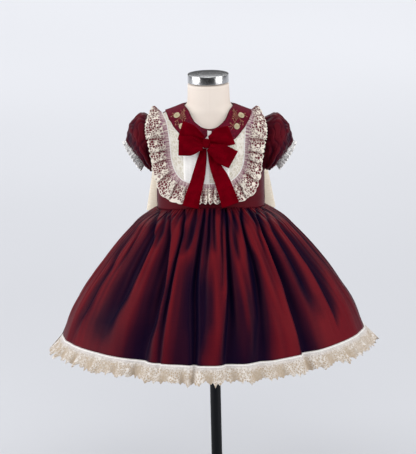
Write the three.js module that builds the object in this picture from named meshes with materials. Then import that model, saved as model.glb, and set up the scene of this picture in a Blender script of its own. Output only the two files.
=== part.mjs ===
// A toddler's party dress on a limbless dress form with a pole and a round base.
// Millimetres, +Z up. The front faces -Y, and the origin is the centre of the base's underside.
import * as THREE from "three";

// Driving sizes of the stand
const BASE_RADIUS = 140;
const BASE_HEIGHT = 12;
const POLE_RADIUS = 10;
const CAP_RADIUS = 37.8;
const CAP_BOTTOM = 810;
const CAP_HEIGHT = 15.5;
const FORM_BOTTOM = 470;

// Driving sizes of the dress
const WAIST_Z = 578;
const WAIST_RISE = 13; // the waist seam is this much higher at the centre front
const ARMPIT_Z = 645;
const NECK_SIDE_X = 44.5; // where the neckline crosses the shoulder seam
const SHOULDER_TIP_X = 95.5;
const ARMHOLE_HALF_DEPTH = 33;

// Gaps between pieces and thicknesses of the cloths
const SEAM = 0.3;
const CLOTH = 1.4;
const FORM_INSET = 1.2; // the form's own surface is this far inside the body that the cloth follows
const LACE = 1.2;
const VELVET = 1.4;
const SATIN = 1.4;

const BURGUNDY = 0x6a1724;
const VELVET_RED = 0x7c0311;
const IVORY = 0xeee2cf;
const LACE_CREAM = 0xe6dccb;

const degrees = Math.PI / 180;
const lerp = (a, b, t) => a + (b - a) * t;
const clamp01 = (t) => Math.min(1, Math.max(0, t));
const smooth = (a, b, x) => {
  const t = clamp01((x - a) / (b - a));
  return t * t * (3 - 2 * t);
};

// A smooth function through a table's rows, which doesn't overshoot them (Fritsch-Carlson slopes).
function through(rows, inKey, outKey) {
  const x = rows.map((r) => r[inKey]);
  const y = rows.map((r) => r[outKey]);
  const steps = x.slice(1).map((v, i) => (y[i + 1] - y[i]) / (v - x[i]));
  const slopes = x.map((_, i) => {
    if (i === 0) return steps[0];
    if (i === x.length - 1) return steps[i - 1];
    const [a, b] = [steps[i - 1], steps[i]];
    return a * b <= 0 ? 0 : (2 * a * b) / (a + b);
  });
  return (at) => {
    let i = 0;
    while (i < x.length - 2 && at > x[i + 1]) i += 1;
    const h = x[i + 1] - x[i];
    const t = clamp01((at - x[i]) / h);
    const rise = y[i] * (1 + 2 * t) * (1 - t) ** 2 + y[i + 1] * t * t * (3 - 2 * t);
    return rise + h * (slopes[i] * t * (1 - t) ** 2 - slopes[i + 1] * t * t * (1 - t));
  };
}

// The dress form's level sections: half width, and depth to the front and to the back
const FORM_ROWS = [
  { z: 470, half: 74, front: 54, back: 58 },
  { z: 478, half: 88, front: 66, back: 70 },
  { z: 510, half: 98, front: 73, back: 78 },
  { z: 550, half: 98.5, front: 74, back: 76 },
  { z: 578, half: 98, front: 73.5, back: 71 },
  { z: 620, half: 97.5, front: 73.5, back: 70 },
  { z: 660, half: 98, front: 72, back: 71 },
  { z: 690, half: 98.5, front: 68, back: 72 },
  { z: 712, half: 98.5, front: 60.5, back: 70 },
  { z: 733, half: 97.5, front: 50, back: 63 },
  { z: 744, half: 94, front: 45.5, back: 57 },
  { z: 750, half: 87, front: 43.8, back: 53 },
  { z: 756, half: 74.5, front: 42.2, back: 49 },
  { z: 762, half: 57.5, front: 41, back: 45 },
  { z: 767.5, half: 44.5, front: 40.3, back: 42.6 },
  { z: 774, half: 40.4, front: 39.6, back: 40.2 },
  { z: 810, half: 37.6, front: 37.6, back: 37.6 },
];
const halfWidth = through(FORM_ROWS, "z", "half");
const frontDepth = through(FORM_ROWS, "z", "front");
const backDepth = through(FORM_ROWS, "z", "back");
const depthAt = (z, back) => (back ? backDepth(z) : frontDepth(z));

const formPoint = (angle, z) => {
  const c = Math.cos(angle);
  return new THREE.Vector3(halfWidth(z) * Math.sin(angle), -depthAt(z, c < 0) * c, z);
};

// How far a point is outside the form's surface, as a share of the section's size, less one
const outside = (p) => Math.hypot(p.x / halfWidth(p.z), p.y / depthAt(p.z, p.y > 0)) - 1;

function outwards(p) {
  const h = 0.05;
  const slope = ["x", "y", "z"].map((axis) => {
    const [a, b] = [p.clone(), p.clone()];
    a[axis] += h;
    b[axis] -= h;
    return (outside(a) - outside(b)) / (2 * h);
  });
  return new THREE.Vector3(...slope);
}

// The point of the form's surface near p, moved out by lift
function onForm(p, lift) {
  const q = p.clone();
  for (let i = 0; i < 8; i += 1) {
    const slope = outwards(q);
    q.addScaledVector(slope, -outside(q) / slope.lengthSq());
  }
  return q.addScaledVector(outwards(q).normalize(), lift);
}

// A smooth curve through points of the form's front or back, given by x and z
function curveOnForm(rows, side) {
  const points = rows.map((r) => {
    const share = Math.min(1, r.x / halfWidth(r.z));
    const y = side * depthAt(r.z, side > 0) * Math.sqrt(1 - share * share);
    return new THREE.Vector3(r.x, y, r.z);
  });
  return new THREE.CatmullRomCurve3(points, false, "centripetal");
}

// A patch between four edge curves, each given from 0 to 1
function patch(bottom, top, left, right) {
  return (s, t) => {
    const point = new THREE.Vector3();
    const add = (p, share) => point.addScaledVector(p, share);
    add(bottom(s), 1 - t);
    add(top(s), t);
    add(left(t), 1 - s);
    add(right(t), s);
    add(bottom(0), -(1 - s) * (1 - t));
    add(bottom(1), -s * (1 - t));
    add(top(0), -(1 - s) * t);
    add(top(1), -s * t);
    return point;
  };
}

// The dress and its form sit a little lower at the right shoulder than at the left
const SHOULDER_DROP = 0.0236; // down for each millimetre to the right

function closedMesh(name, flat, faces, color, finish) {
  const points = flat.map((p) => {
    const share = smooth(590, 690, p.z) - smooth(772, 800, p.z);
    return new THREE.Vector3(p.x, p.y, p.z - SHOULDER_DROP * p.x * share);
  });
  const geometry = new THREE.BufferGeometry();
  const position = new THREE.Float32BufferAttribute(points.flatMap((p) => p.toArray()), 3);
  geometry.setAttribute("position", position);
  const volume = faces.reduce((sum, [a, b, c]) => {
    return sum + points[a].dot(points[b].clone().cross(points[c]));
  }, 0);
  const facing = volume < 0 ? faces.map(([a, b, c]) => [a, c, b]) : faces;
  geometry.setIndex(facing.flat());
  geometry.computeVertexNormals();
  const material = new THREE.MeshStandardMaterial({ color, roughness: 0.6, metalness: 0, ...finish });
  const mesh = new THREE.Mesh(geometry, material);
  mesh.name = name;
  return mesh;
}

// A cloth wall: the middle surface is sampled as columns by rows, and moved both ways by half of
// the thickness along its own normals. A closed wall joins its last column to its first, and a
// wall that runs on takes the normals at its ends from the surface beyond them.
function clothWall(name, surface, columns, rows, thickness, color, ends = "open") {
  const closed = ends === "closed";
  const across = closed ? columns : columns + 1;
  const column = (i) => Array.from({ length: rows + 1 }, (_, j) => surface(i / columns, j / rows));
  const grid = Array.from({ length: across }, (_, i) => column(i));
  const [before, after] = ends === "runs on" ? [column(-1), column(columns + 1)] : [grid[0], grid[across - 1]];
  const at = (i, j) => {
    const row = Math.min(rows, Math.max(0, j));
    if (closed) return grid[(i + columns) % columns][row];
    if (i < 0) return before[row];
    return i < across ? grid[i][row] : after[row];
  };
  const outer = [];
  const inner = [];
  for (let i = 0; i < across; i += 1) {
    for (let j = 0; j <= rows; j += 1) {
      const along = at(i + 1, j).clone().sub(at(i - 1, j));
      const up = at(i, j + 1).clone().sub(at(i, j - 1));
      const normal = along.cross(up).normalize();
      outer.push(grid[i][j].clone().addScaledVector(normal, thickness / 2));
      inner.push(grid[i][j].clone().addScaledVector(normal, -thickness / 2));
    }
  }
  const points = [...outer, ...inner];
  const index = (i, j, layer) => ((i + across) % across) * (rows + 1) + j + layer * outer.length;
  const faces = [];
  const quad = (a, b, c, d) => faces.push([a, b, c], [a, c, d]);
  const last = closed ? across : across - 1;
  for (let i = 0; i < last; i += 1) {
    for (let j = 0; j < rows; j += 1) {
      quad(index(i, j, 0), index(i + 1, j, 0), index(i + 1, j + 1, 0), index(i, j + 1, 0));
      quad(index(i, j, 1), index(i, j + 1, 1), index(i + 1, j + 1, 1), index(i + 1, j, 1));
    }
    quad(index(i, 0, 0), index(i, 0, 1), index(i + 1, 0, 1), index(i + 1, 0, 0));
    quad(index(i, rows, 0), index(i + 1, rows, 0), index(i + 1, rows, 1), index(i, rows, 1));
  }
  if (!closed) {
    for (let j = 0; j < rows; j += 1) {
      quad(index(0, j, 0), index(0, j + 1, 0), index(0, j + 1, 1), index(0, j, 1));
      quad(index(last, j, 0), index(last, j, 1), index(last, j + 1, 1), index(last, j + 1, 0));
    }
  }
  return closedMesh(name, points, faces, color, {});
}

// A solid through rings of equal point counts, closed with a flat fan at each end
function ringSolid(name, rings, color, finish) {
  const count = rings[0].length;
  const centres = [rings[0], rings[rings.length - 1]].map((ring) => {
    return ring.reduce((sum, p) => sum.add(p), new THREE.Vector3()).divideScalar(count);
  });
  const points = [...rings.flat(), ...centres];
  const faces = [];
  for (let i = 0; i < count; i += 1) {
    const next = (i + 1) % count;
    for (let k = 0; k < rings.length - 1; k += 1) {
      const [a, b] = [k * count, (k + 1) * count];
      faces.push([a + i, a + next, b + next], [a + i, b + next, b + i]);
    }
    const top = (rings.length - 1) * count;
    faces.push([points.length - 2, next, i], [points.length - 1, top + i, top + next]);
  }
  return closedMesh(name, points, faces, color, finish);
}

// The stand and the dress form
function makeBase() {
  const chamfer = 3;
  const outline = [
    [0, 0],
    [BASE_RADIUS - chamfer / 2, 0],
    [BASE_RADIUS, chamfer / 2],
    [BASE_RADIUS, BASE_HEIGHT - 2 * chamfer],
    [BASE_RADIUS - 2 * chamfer, BASE_HEIGHT - chamfer],
    [POLE_RADIUS + 14, BASE_HEIGHT],
    [0, BASE_HEIGHT],
  ];
  const geometry = new THREE.LatheGeometry(outline.map(([r, z]) => new THREE.Vector2(r, z)), 40);
  geometry.rotateX(Math.PI / 2);
  const material = new THREE.MeshStandardMaterial({ color: 0x1c1e22, roughness: 0.45, metalness: 0.4 });
  const mesh = new THREE.Mesh(geometry, material);
  mesh.name = "stand_base";
  return mesh;
}

function makePole() {
  const bottom = BASE_HEIGHT + SEAM;
  const height = FORM_BOTTOM - SEAM - bottom;
  const geometry = new THREE.CylinderGeometry(POLE_RADIUS, POLE_RADIUS, height, 20);
  geometry.rotateX(Math.PI / 2);
  const material = new THREE.MeshStandardMaterial({ color: 0x1c1e22, roughness: 0.4, metalness: 0.4 });
  const mesh = new THREE.Mesh(geometry, material);
  mesh.position.z = bottom + height / 2;
  mesh.name = "stand_pole";
  return mesh;
}

const FORM_LEVELS = [470, 474, 482, 520, 580, 640, 690, 712, 726, 736, 743, 749, 754, 760, 766, 772];

function makeForm() {
  const count = 28;
  const levels = [...FORM_LEVELS, 779, CAP_BOTTOM - SEAM];
  const rings = levels.map((z) => {
    const inset = FORM_INSET + 1.6 * smooth(715, 740, z);
    const share = 1 - smooth(768, 775, z);
    return Array.from({ length: count }, (_, i) => {
      const p = formPoint((i / count) * 2 * Math.PI, z);
      return p.addScaledVector(outwards(p).normalize(), -inset * share * smooth(471, 480, z));
    });
  });
  return ringSolid("dress_form", rings, 0xf1e6dc, { roughness: 0.7 });
}

function makeCap() {
  const bevel = 1.2;
  const top = CAP_BOTTOM + CAP_HEIGHT;
  const outline = [
    [0, CAP_BOTTOM],
    [CAP_RADIUS, CAP_BOTTOM],
    [CAP_RADIUS, top - bevel],
    [CAP_RADIUS - bevel, top],
    [0, top],
  ];
  const geometry = new THREE.LatheGeometry(outline.map(([r, z]) => new THREE.Vector2(r, z)), 36);
  geometry.rotateX(Math.PI / 2);
  const material = new THREE.MeshStandardMaterial({ color: 0xb9bcc0, roughness: 0.18, metalness: 1 });
  const mesh = new THREE.Mesh(geometry, material);
  mesh.name = "neck_cap";
  return mesh;
}

// The bodice. The seam curves lie on the form, and each panel is a patch between them.
const waistZ = (angle) => WAIST_Z + WAIST_RISE * Math.max(0, Math.cos(angle)) ** 2;

// The neckline and the collar's outer edge, by the angle round the neck from the centre front
const NECK_ROWS = [
  { angle: 0, neck: 731.5, collar: 722 },
  { angle: 3, neck: 731.8, collar: 717.5 },
  { angle: 7, neck: 733.5, collar: 712 },
  { angle: 12.5, neck: 739.5, collar: 709 },
  { angle: 20, neck: 749, collar: 709 },
  { angle: 25.5, neck: 754, collar: 711.5 },
  { angle: 31, neck: 757.5, collar: 717.8 },
  { angle: 35, neck: 759.3, collar: 724 },
  { angle: 40, neck: 761.3, collar: 731.5 },
  { angle: 46, neck: 763, collar: 742 },
  { angle: 53, neck: 764.5, collar: 748.5 },
  { angle: 62, neck: 765.7, collar: 752.5 },
  { angle: 75, neck: 766.9, collar: 755.5 },
  { angle: 90, neck: 767.5, collar: 756.6 },
  { angle: 110, neck: 767.3, collar: 754.5 },
  { angle: 135, neck: 766, collar: 747 },
  { angle: 160, neck: 764.5, collar: 739.5 },
  { angle: 180, neck: 764, collar: 737 },
];
const neckZ = through(NECK_ROWS, "angle", "neck");
const collarZ = through(NECK_ROWS, "angle", "collar");

const necklinePoint = (angle) => formPoint(angle, neckZ(Math.abs(angle) / degrees));

// The height of the shoulder's ridge at a distance from the centre
function ridgeZ(x) {
  let [low, high] = [700, 775];
  for (let i = 0; i < 40; i += 1) {
    const middle = (low + high) / 2;
    if (halfWidth(middle) < x) high = middle;
    else low = middle;
  }
  return low;
}
const ridgePoint = (x) => new THREE.Vector3(x, 0, ridgeZ(x));

const SHOULDER_TIP_Z = ridgeZ(SHOULDER_TIP_X);
const armholeMiddle = (SHOULDER_TIP_Z + ARMPIT_Z) / 2;
const armholeHalf = (SHOULDER_TIP_Z - ARMPIT_Z) / 2;

// The armhole's edge: 0 at the shoulder tip, 90 degrees at the front, 180 at the armpit
function armholePoint(turn, side) {
  const z = armholeMiddle + armholeHalf * Math.cos(turn);
  const y = -ARMHOLE_HALF_DEPTH * Math.sin(turn);
  const share = Math.min(1, Math.abs(y) / depthAt(z, y > 0));
  return new THREE.Vector3(side * halfWidth(z) * Math.sqrt(1 - share * share), y, z);
}

// Half of the front or back: s runs from the centre to the side, t from the waist to the shoulder
function halfPanel(facing) {
  const start = facing < 0 ? 0 : Math.PI;
  const turned = facing < 0 ? 1 : -1;
  const angle = (s) => start + turned * s * (Math.PI / 2);
  const neckShare = 0.5;
  const sideShare = 0.36;
  const bottom = (s) => formPoint(angle(s), waistZ(angle(s)));
  const top = (s) => {
    if (s <= neckShare) return necklinePoint(angle(s / neckShare));
    return ridgePoint(lerp(NECK_SIDE_X, SHOULDER_TIP_X, (s - neckShare) / (1 - neckShare)));
  };
  const centre = (t) => formPoint(start, lerp(bottom(0).z, top(0).z, t));
  const side = (t) => {
    if (t <= sideShare) return formPoint(Math.PI / 2, lerp(WAIST_Z, ARMPIT_Z, t / sideShare));
    const turn = Math.PI * (1 - (t - sideShare) / (1 - sideShare));
    return armholePoint(facing < 0 ? turn : -turn, 1);
  };
  return patch(bottom, top, centre, side);
}

// How far the middle of each layer is outside the body. Ease is added where the shoulders bend.
const LAYERS = {
  bodice: { lift: 0.9, ease: 0.4 },
  bib: { lift: 3.2, ease: 3 },
  ruffle: { lift: 2.9, ease: 1.9 },
  collar: { lift: 5.3, ease: 3.4 },
  collarBack: { lift: 3, ease: 1.4 },
  rose: { lift: 7, ease: 3.4 },
};
const layered = (p, layer) => onForm(p, layer.lift + layer.ease * smooth(700, 738, p.z));
const frontHalf = halfPanel(-1);
const backHalf = halfPanel(1);
const towardsTop = (v) => 1 - (1 - v) ** 1.5; // rows close together near the shoulders

function makeBodiceFront() {
  const surface = (u, v) => {
    const s = 2 * u - 1;
    const p = layered(frontHalf(Math.abs(s), towardsTop(v)), LAYERS.bodice);
    p.x *= s < 0 ? -1 : 1;
    p.y -= SEAM;
    return p;
  };
  return clothWall("bodice_front", surface, 20, 9, CLOTH, BURGUNDY);
}

function makeBodiceBack(side) {
  const surface = (u, v) => {
    const p = layered(backHalf(u, towardsTop(v)), LAYERS.bodice);
    p.x = side * (p.x + SEAM);
    p.y += SEAM;
    return p;
  };
  const name = side < 0 ? "bodice_back_left" : "bodice_back_right";
  return clothWall(name, surface, 10, 9, CLOTH, BURGUNDY);
}

// The bib's outline on the right half of the front, from the centre to the shoulder seam
const BIB_SHOULDER_X = 80;
const BIB_OUTLINE = [
  { x: 0, z: 634.5 },
  { x: 26, z: 635 },
  { x: 42, z: 638.5 },
  { x: 51, z: 645 },
  { x: 58, z: 654 },
  { x: 63, z: 666 },
  { x: 65.6, z: 680 },
  { x: 67, z: 700 },
  { x: 69.3, z: 722 },
  { x: 73, z: 742 },
  { x: 76, z: 748.5 },
  { x: BIB_SHOULDER_X, z: ridgeZ(BIB_SHOULDER_X) },
];
const bibEdge = curveOnForm(BIB_OUTLINE, -1);
const BIB_CORNER = 0.3; // the share of the outline that is the bib's bottom edge

// The bib and its ruffle are sewn on a little left of the middle, but follow the neckline
const BIB_SHIFT = -6;
function shifted(p, side) {
  const q = p.clone();
  q.x = side * p.x + BIB_SHIFT * (1 - smooth(700, 735, p.z) * (1 - smooth(45, 60, p.x)));
  return q;
}

function makeBib() {
  const bottom = (s) => bibEdge.getPointAt(s * BIB_CORNER);
  const side = (t) => bibEdge.getPointAt(lerp(BIB_CORNER, 1, t));
  const neckShare = 0.6;
  const top = (s) => {
    if (s <= neckShare) return necklinePoint((s / neckShare) * (Math.PI / 2));
    return ridgePoint(lerp(NECK_SIDE_X, BIB_SHOULDER_X, (s - neckShare) / (1 - neckShare)));
  };
  const centre = (t) => formPoint(0, lerp(bottom(0).z, top(0).z, t));
  const half = patch(bottom, top, centre, side);
  const surface = (u, v) => {
    const s = 2 * u - 1;
    const flat = half(Math.abs(s) * 0.985, lerp(0.01, 0.985, towardsTop(v)));
    const p = layered(shifted(flat, s < 0 ? -1 : 1), LAYERS.bib);
    p.y -= SEAM;
    return p;
  };
  return clothWall("bib", surface, 16, 8, LACE, 0xf3efe8);
}

// The bib's lace ruffle: flounces along the outline, from the left shoulder to the bottom centre,
// mirrored to the right. Long is a flounce's length along the outline, high how far it stands out.
const FLOUNCES = [
  { long: 34, high: 7 },
  { long: 13, high: 5 },
  { long: 9, high: 5 },
  { long: 11, high: 6 },
  { long: 19, high: 7 },
  { long: 17, high: 6 },
  { long: 16, high: 6 },
  { long: 15, high: 6 },
  { long: 14, high: 5 },
  { long: 14, high: 5 },
  { long: 16, high: 5 },
];
// The ruffle's free edge on the right half, by the share of the bib's outline that it is sewn to
const RUFFLE_EDGE = [
  { q: 0, x: 0, z: 600 },
  { q: 0.1, x: 21, z: 599.8 },
  { q: 0.2, x: 50, z: 599.6 },
  { q: 0.25, x: 72, z: 606 },
  { q: 0.3, x: 86.5, z: 619 },
  { q: 0.35, x: 94, z: 637 },
  { q: 0.4, x: 98, z: 653 },
  { q: 0.5, x: 102, z: 680 },
  { q: 0.6, x: 105, z: 700 },
  { q: 0.7, x: 109, z: 716.5 },
  { q: 0.8, x: 110.4, z: 731.5 },
  { q: 0.85, x: 110, z: 738 },
  { q: 0.9, x: 107.5, z: 747 },
  { q: 0.95, x: 102, z: 758 },
  { q: 1, x: 96, z: 769 },
];
const ruffleX = through(RUFFLE_EDGE, "q", "x");
const ruffleZ = through(RUFFLE_EDGE, "q", "z");
const FLOUNCE_TOTAL = FLOUNCES.reduce((sum, f) => sum + f.long, 0);

// The height of the flounces at a share of the outline, 1 at the shoulder and 0 at the centre
function flounceHeight(q) {
  let left = (1 - q) * FLOUNCE_TOTAL;
  for (const flounce of FLOUNCES) {
    if (left <= flounce.long) return flounce.high * Math.sin((left / flounce.long) * Math.PI);
    left -= flounce.long;
  }
  return 0;
}

// A point of the ruffle: q along the outline on either side, r from the seam to the free edge
function rufflePoint(q, r, side) {
  const seat = layered(shifted(bibEdge.getPointAt(q), side), LAYERS.ruffle);
  const stands = lerp(4, 13, smooth(0.6, 0.85, q)) - 9 * smooth(0.88, 1, q);
  const edge = new THREE.Vector3(side * ruffleX(q) + BIB_SHIFT, seat.y - stands, ruffleZ(q));
  const out = edge.sub(seat);
  const wave = flounceHeight(q) * smooth(0, 0.8, r);
  seat.addScaledVector(out, r).addScaledVector(out.normalize(), 1.2);
  seat.y -= SEAM / 2 + 2.5 * smooth(0, 0.4, r) + wave;
  return seat;
}

function makeRuffle() {
  const surface = (u, v) => rufflePoint(Math.abs(2 * u - 1), v, u < 0.5 ? -1 : 1);
  return clothWall("bib_ruffle", surface, 64, 2, LACE, LACE_CREAM);
}

// The collar's two halves, from the centre front over the shoulder to the centre back
function collarPoint(angle, out, layer) {
  const p = formPoint(angle * degrees, lerp(neckZ(angle) - 0.6, collarZ(angle), out));
  return layered(p, layer);
}

function makeCollar(side) {
  const surface = (u, v) => {
    const angle = lerp(2.5, 179.6, u ** 1.25);
    const front = collarPoint(angle, v, LAYERS.collar);
    const p = front.lerp(collarPoint(angle, v, LAYERS.collarBack), smooth(85, 125, angle));
    p.x = side * Math.max(p.x, SEAM);
    return p;
  };
  const name = side < 0 ? "collar_left" : "collar_right";
  return clothWall(name, surface, 22, 3, CLOTH, 0x741b31);
}

// The applied roses on the collar's front ends: angle is round the neck, out across the collar
const ROSES = [
  { name: "outer", angle: 42.5, out: 0.44, radius: 6.2 },
  { name: "inner", angle: 30.3, out: 0.59, radius: 5.4 },
];

function makeRose(row, side) {
  const seat = collarPoint(row.angle, row.out, LAYERS.rose);
  const normal = outwards(seat).normalize();
  const count = 8;
  const around = new THREE.Vector3(0, 0, 1).cross(normal).normalize();
  const across = normal.clone().cross(around);
  const ring = (scale, height) => Array.from({ length: count }, (_, i) => {
    const turn = (i / count) * 2 * Math.PI;
    return seat.clone()
      .addScaledVector(around, row.radius * scale * Math.cos(turn))
      .addScaledVector(across, row.radius * scale * Math.sin(turn))
      .addScaledVector(normal, height);
  });
  const rings = [ring(0.8, 0), ring(1, 0.9), ring(0.6, 2.4)];
  rings.forEach((points) => points.forEach((p) => { p.x *= side; }));
  const name = `rose_${row.name}_${side < 0 ? "left" : "right"}`;
  return ringSolid(name, rings, 0xe8ddc0, {});
}

// The puff sleeves: rings from the armhole to the elastic cuff, for the right side. The ring's
// centre is x and z, tilt is how far its top leans in, high and deep are its half sizes.
const SLEEVE_RINGS = [
  { t: 0.3, x: 111, z: 698, tilt: 10, high: 53.5, deep: 42, gather: 1.4 },
  { t: 0.6, x: 124, z: 688, tilt: 23, high: 48.4, deep: 46, gather: 0.8 },
  { t: 0.84, x: 133.7, z: 681.5, tilt: 28.5, high: 39.3, deep: 40, gather: 1.4 },
  { t: 1, x: 137.3, z: 678.5, tilt: 39, high: 28, deep: 26, gather: 1.8 },
];
const SLEEVE_GATHERS = 10;

function sleeveRing(row, turn) {
  const tilt = row.tilt * degrees;
  const bump = row.gather * Math.cos(SLEEVE_GATHERS * turn);
  const high = (row.high + bump) * Math.cos(turn);
  return new THREE.Vector3(
    row.x + high * Math.sin(tilt),
    -(row.deep + bump) * Math.sin(turn),
    row.z + high * Math.cos(tilt),
  );
}

// A point of the sleeve: turn round the arm, and t from the armhole to the cuff
function sleevePoint(turn, t) {
  const start = armholePoint(turn, 1);
  start.x += CLOTH + 1.8;
  start.add(new THREE.Vector3(0, -1.2 * Math.sin(turn), 1.2 * Math.cos(turn)));
  const stations = [start, ...SLEEVE_RINGS.map((row) => sleeveRing(row, turn))];
  const times = [0, ...SLEEVE_RINGS.map((row) => row.t)];
  const smoothed = ["x", "y", "z"].map((axis) => {
    return through(stations.map((p, i) => ({ t: times[i], value: p[axis] })), "t", "value")(t);
  });
  return new THREE.Vector3(...smoothed);
}

function makeSleeve(side) {
  const surface = (u, v) => {
    const p = sleevePoint(-u * 2 * Math.PI, v);
    p.x *= side;
    return p;
  };
  return clothWall(side < 0 ? "sleeve_left" : "sleeve_right", surface, 40, 6, CLOTH, BURGUNDY, "closed");
}

// The cuff's lace: it leaves the cuff along the arm and flares in small waves to its free edge
const CUFF_LACE_EDGE = { x: 143.4, z: 671.6, tilt: 33, high: 29.5, deep: 29, gather: 0 };
const CUFF_WAVES = 10;

function makeCuffLace(side) {
  const row = SLEEVE_RINGS[SLEEVE_RINGS.length - 1];
  const arm = new THREE.Vector3(Math.cos(row.tilt * degrees), 0, -Math.sin(row.tilt * degrees));
  const surface = (u, v) => {
    const turn = -u * 2 * Math.PI;
    const wave = 2.2 * Math.cos(CUFF_WAVES * turn);
    const cuff = sleeveRing({ ...row, gather: 0 }, turn).addScaledVector(arm, CLOTH / 2 + 2 * SEAM);
    const edge = { ...CUFF_LACE_EDGE, high: CUFF_LACE_EDGE.high + wave, deep: CUFF_LACE_EDGE.deep + wave };
    const p = cuff.lerp(sleeveRing(edge, turn), v);
    p.x *= side;
    return p;
  };
  const name = side < 0 ? "cuff_lace_left" : "cuff_lace_right";
  return clothWall(name, surface, 40, 1, 1, LACE_CREAM, "closed");
}

// The skirt: half sizes at shares of its drop. Shares are measured down from the waist seam.
const SKIRT_ROWS = [
  { t: 0, half: 100.2, front: 75.7, back: 73.2 },
  { t: 0.045, half: 119, front: 89, back: 86 },
  { t: 0.11, half: 140, front: 104, back: 102 },
  { t: 0.17, half: 153, front: 114, back: 113 },
  { t: 0.25, half: 170, front: 127, back: 128 },
  { t: 0.41, half: 200, front: 149, back: 153 },
  { t: 0.6, half: 232, front: 174, back: 180 },
  { t: 0.8, half: 260, front: 197, back: 205 },
  { t: 1, half: 279, front: 213, back: 222 },
];
const skirtHalf = through(SKIRT_ROWS, "t", "half");
const skirtFront = through(SKIRT_ROWS, "t", "front");
const skirtBack = through(SKIRT_ROWS, "t", "back");
const HEM_Z = 343;
const HEM_DIP_FRONT = 17.5; // the hem is this much lower at the centre front
const HEM_DIP_BACK = 10;
const HEM_TILT = 3.5; // and this much higher at the right side, lower at the left

// The hem's height at an angle round the body
function hemZ(a) {
  const [s, c] = [Math.sin(a), Math.cos(a)];
  const dip = c > 0 ? HEM_DIP_FRONT * c ** 3 : HEM_DIP_BACK * c * c;
  return HEM_Z + HEM_TILT * s ** 3 - dip;
}

// Valleys between the skirt's main folds, by the angle round the body from the centre front at
// the waist and at the hem. Deep is how far a valley goes in and wide its half width in degrees.
const SKIRT_VALLEYS = [
  { waist: -86, hem: -79, deep: 8, wide: 5 },
  { waist: -74, hem: -64, deep: 7, wide: 3.6 },
  { waist: -66, hem: -50, deep: 14, wide: 8 },
  { waist: -42, hem: -28, deep: 16, wide: 7 },
  { waist: -33, hem: -21, deep: 8, wide: 3.6 },
  { waist: -10, hem: -9, deep: 14, wide: 6 },
  { waist: 4, hem: 2, deep: 8, wide: 3.6 },
  { waist: 20, hem: 13, deep: 17, wide: 7.5 },
  { waist: 43, hem: 36, deep: 18, wide: 6.5 },
  { waist: 66, hem: 54, deep: 9, wide: 3.8 },
  { waist: 80, hem: 70, deep: 8, wide: 5 },
  { waist: 92, hem: 88, deep: 9, wide: 6 },
  { waist: 106, hem: 102, deep: 12, wide: 6 },
  { waist: 119, hem: 117, deep: 13, wide: 6.5 },
  { waist: 135, hem: 133, deep: 12, wide: 5.5 },
  { waist: 147, hem: 146, deep: 14, wide: 6 },
  { waist: 161, hem: 161, deep: 11, wide: 5 },
  { waist: 176, hem: 176, deep: 14, wide: 6.5 },
  { waist: 191, hem: 192, deep: 13, wide: 6 },
  { waist: 206, hem: 206, deep: 10, wide: 5 },
  { waist: 221, hem: 221, deep: 14, wide: 6.5 },
  { waist: 236, hem: 237, deep: 12, wide: 6 },
  { waist: 250, hem: 252, deep: 13, wide: 6 },
  { waist: 262, hem: 264, deep: 8, wide: 4.5 },
];
const GATHERS = 36;
const GATHER_DEPTH = 2.3;

// How far the folds move the skirt in or out at an angle in degrees and a share of the drop
function foldDepth(angle, t) {
  const turn = (a) => ((((angle - a) % 360) + 540) % 360) - 180;
  const valleys = SKIRT_VALLEYS.reduce((sum, row) => {
    const away = turn(lerp(row.waist, row.hem, Math.sqrt(clamp01(t)))) / row.wide;
    return sum - row.deep * Math.exp(-0.5 * away * away);
  }, 0);
  const gathers = GATHER_DEPTH * Math.cos(GATHERS * angle * degrees);
  const fade = lerp(1, 2, smooth(0, 0.12, t)) * (1 - smooth(0.14, 0.5, t));
  return gathers * fade + (valleys + 5) * smooth(0.03, 0.75, t);
}

// A point of the skirt: angle from the centre front, t from the waist seam to the hem
function skirtPoint(angle, t) {
  const a = angle * degrees;
  const [s, c] = [Math.sin(a), Math.cos(a)];
  const depth = c > 0 ? skirtFront(t) : skirtBack(t);
  const top = waistZ(a) - SEAM - 1;
  const p = new THREE.Vector3(skirtHalf(t) * s, -depth * c, lerp(top, hemZ(a), t));
  const out = new THREE.Vector3(s / skirtHalf(t), -c / depth, 0).normalize();
  return p.addScaledVector(out, foldDepth(angle, t));
}

// Rows are close together near the waist, where the gathers turn out
const skirtShare = (v) => lerp(v * v, v, 0.35);

function makeSkirtPanel(name, from, to, columns) {
  const trim = 0.09; // degrees left open at each seam
  const surface = (u, v) => skirtPoint(lerp(from + trim, to - trim, u), skirtShare(v));
  return clothWall(name, surface, columns, 6, CLOTH, BURGUNDY, "runs on");
}

// The hem's lace stands out more than the skirt does, in waves that grow to its free edge
const HEM_LACE_WIDTH = 34;
const HEM_LACE_FLARE = 21 * degrees;
const HEM_WAVES = 44;

function hemLacePoint(angle, r) {
  const hem = skirtPoint(angle, 1);
  const above = skirtPoint(angle, 0.97);
  const down = hem.clone().sub(above).normalize();
  const a = angle * degrees;
  const out = new THREE.Vector3(Math.sin(a), -Math.cos(a), 0);
  const away = down.clone().multiplyScalar(Math.cos(HEM_LACE_FLARE));
  away.addScaledVector(out, Math.sin(HEM_LACE_FLARE)).normalize();
  const wave = 4.6 * Math.cos(HEM_WAVES * a);
  return hem
    .addScaledVector(down, 2 * SEAM)
    .addScaledVector(away, HEM_LACE_WIDTH * r)
    .addScaledVector(out, wave * smooth(0, 1, r));
}

function makeHemLace(name, from, to) {
  const trim = 0.09;
  const surface = (u, v) => hemLacePoint(lerp(from + trim, to - trim, u), v);
  return clothWall(name, surface, 88, 1, 1.1, LACE_CREAM, "runs on");
}

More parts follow.
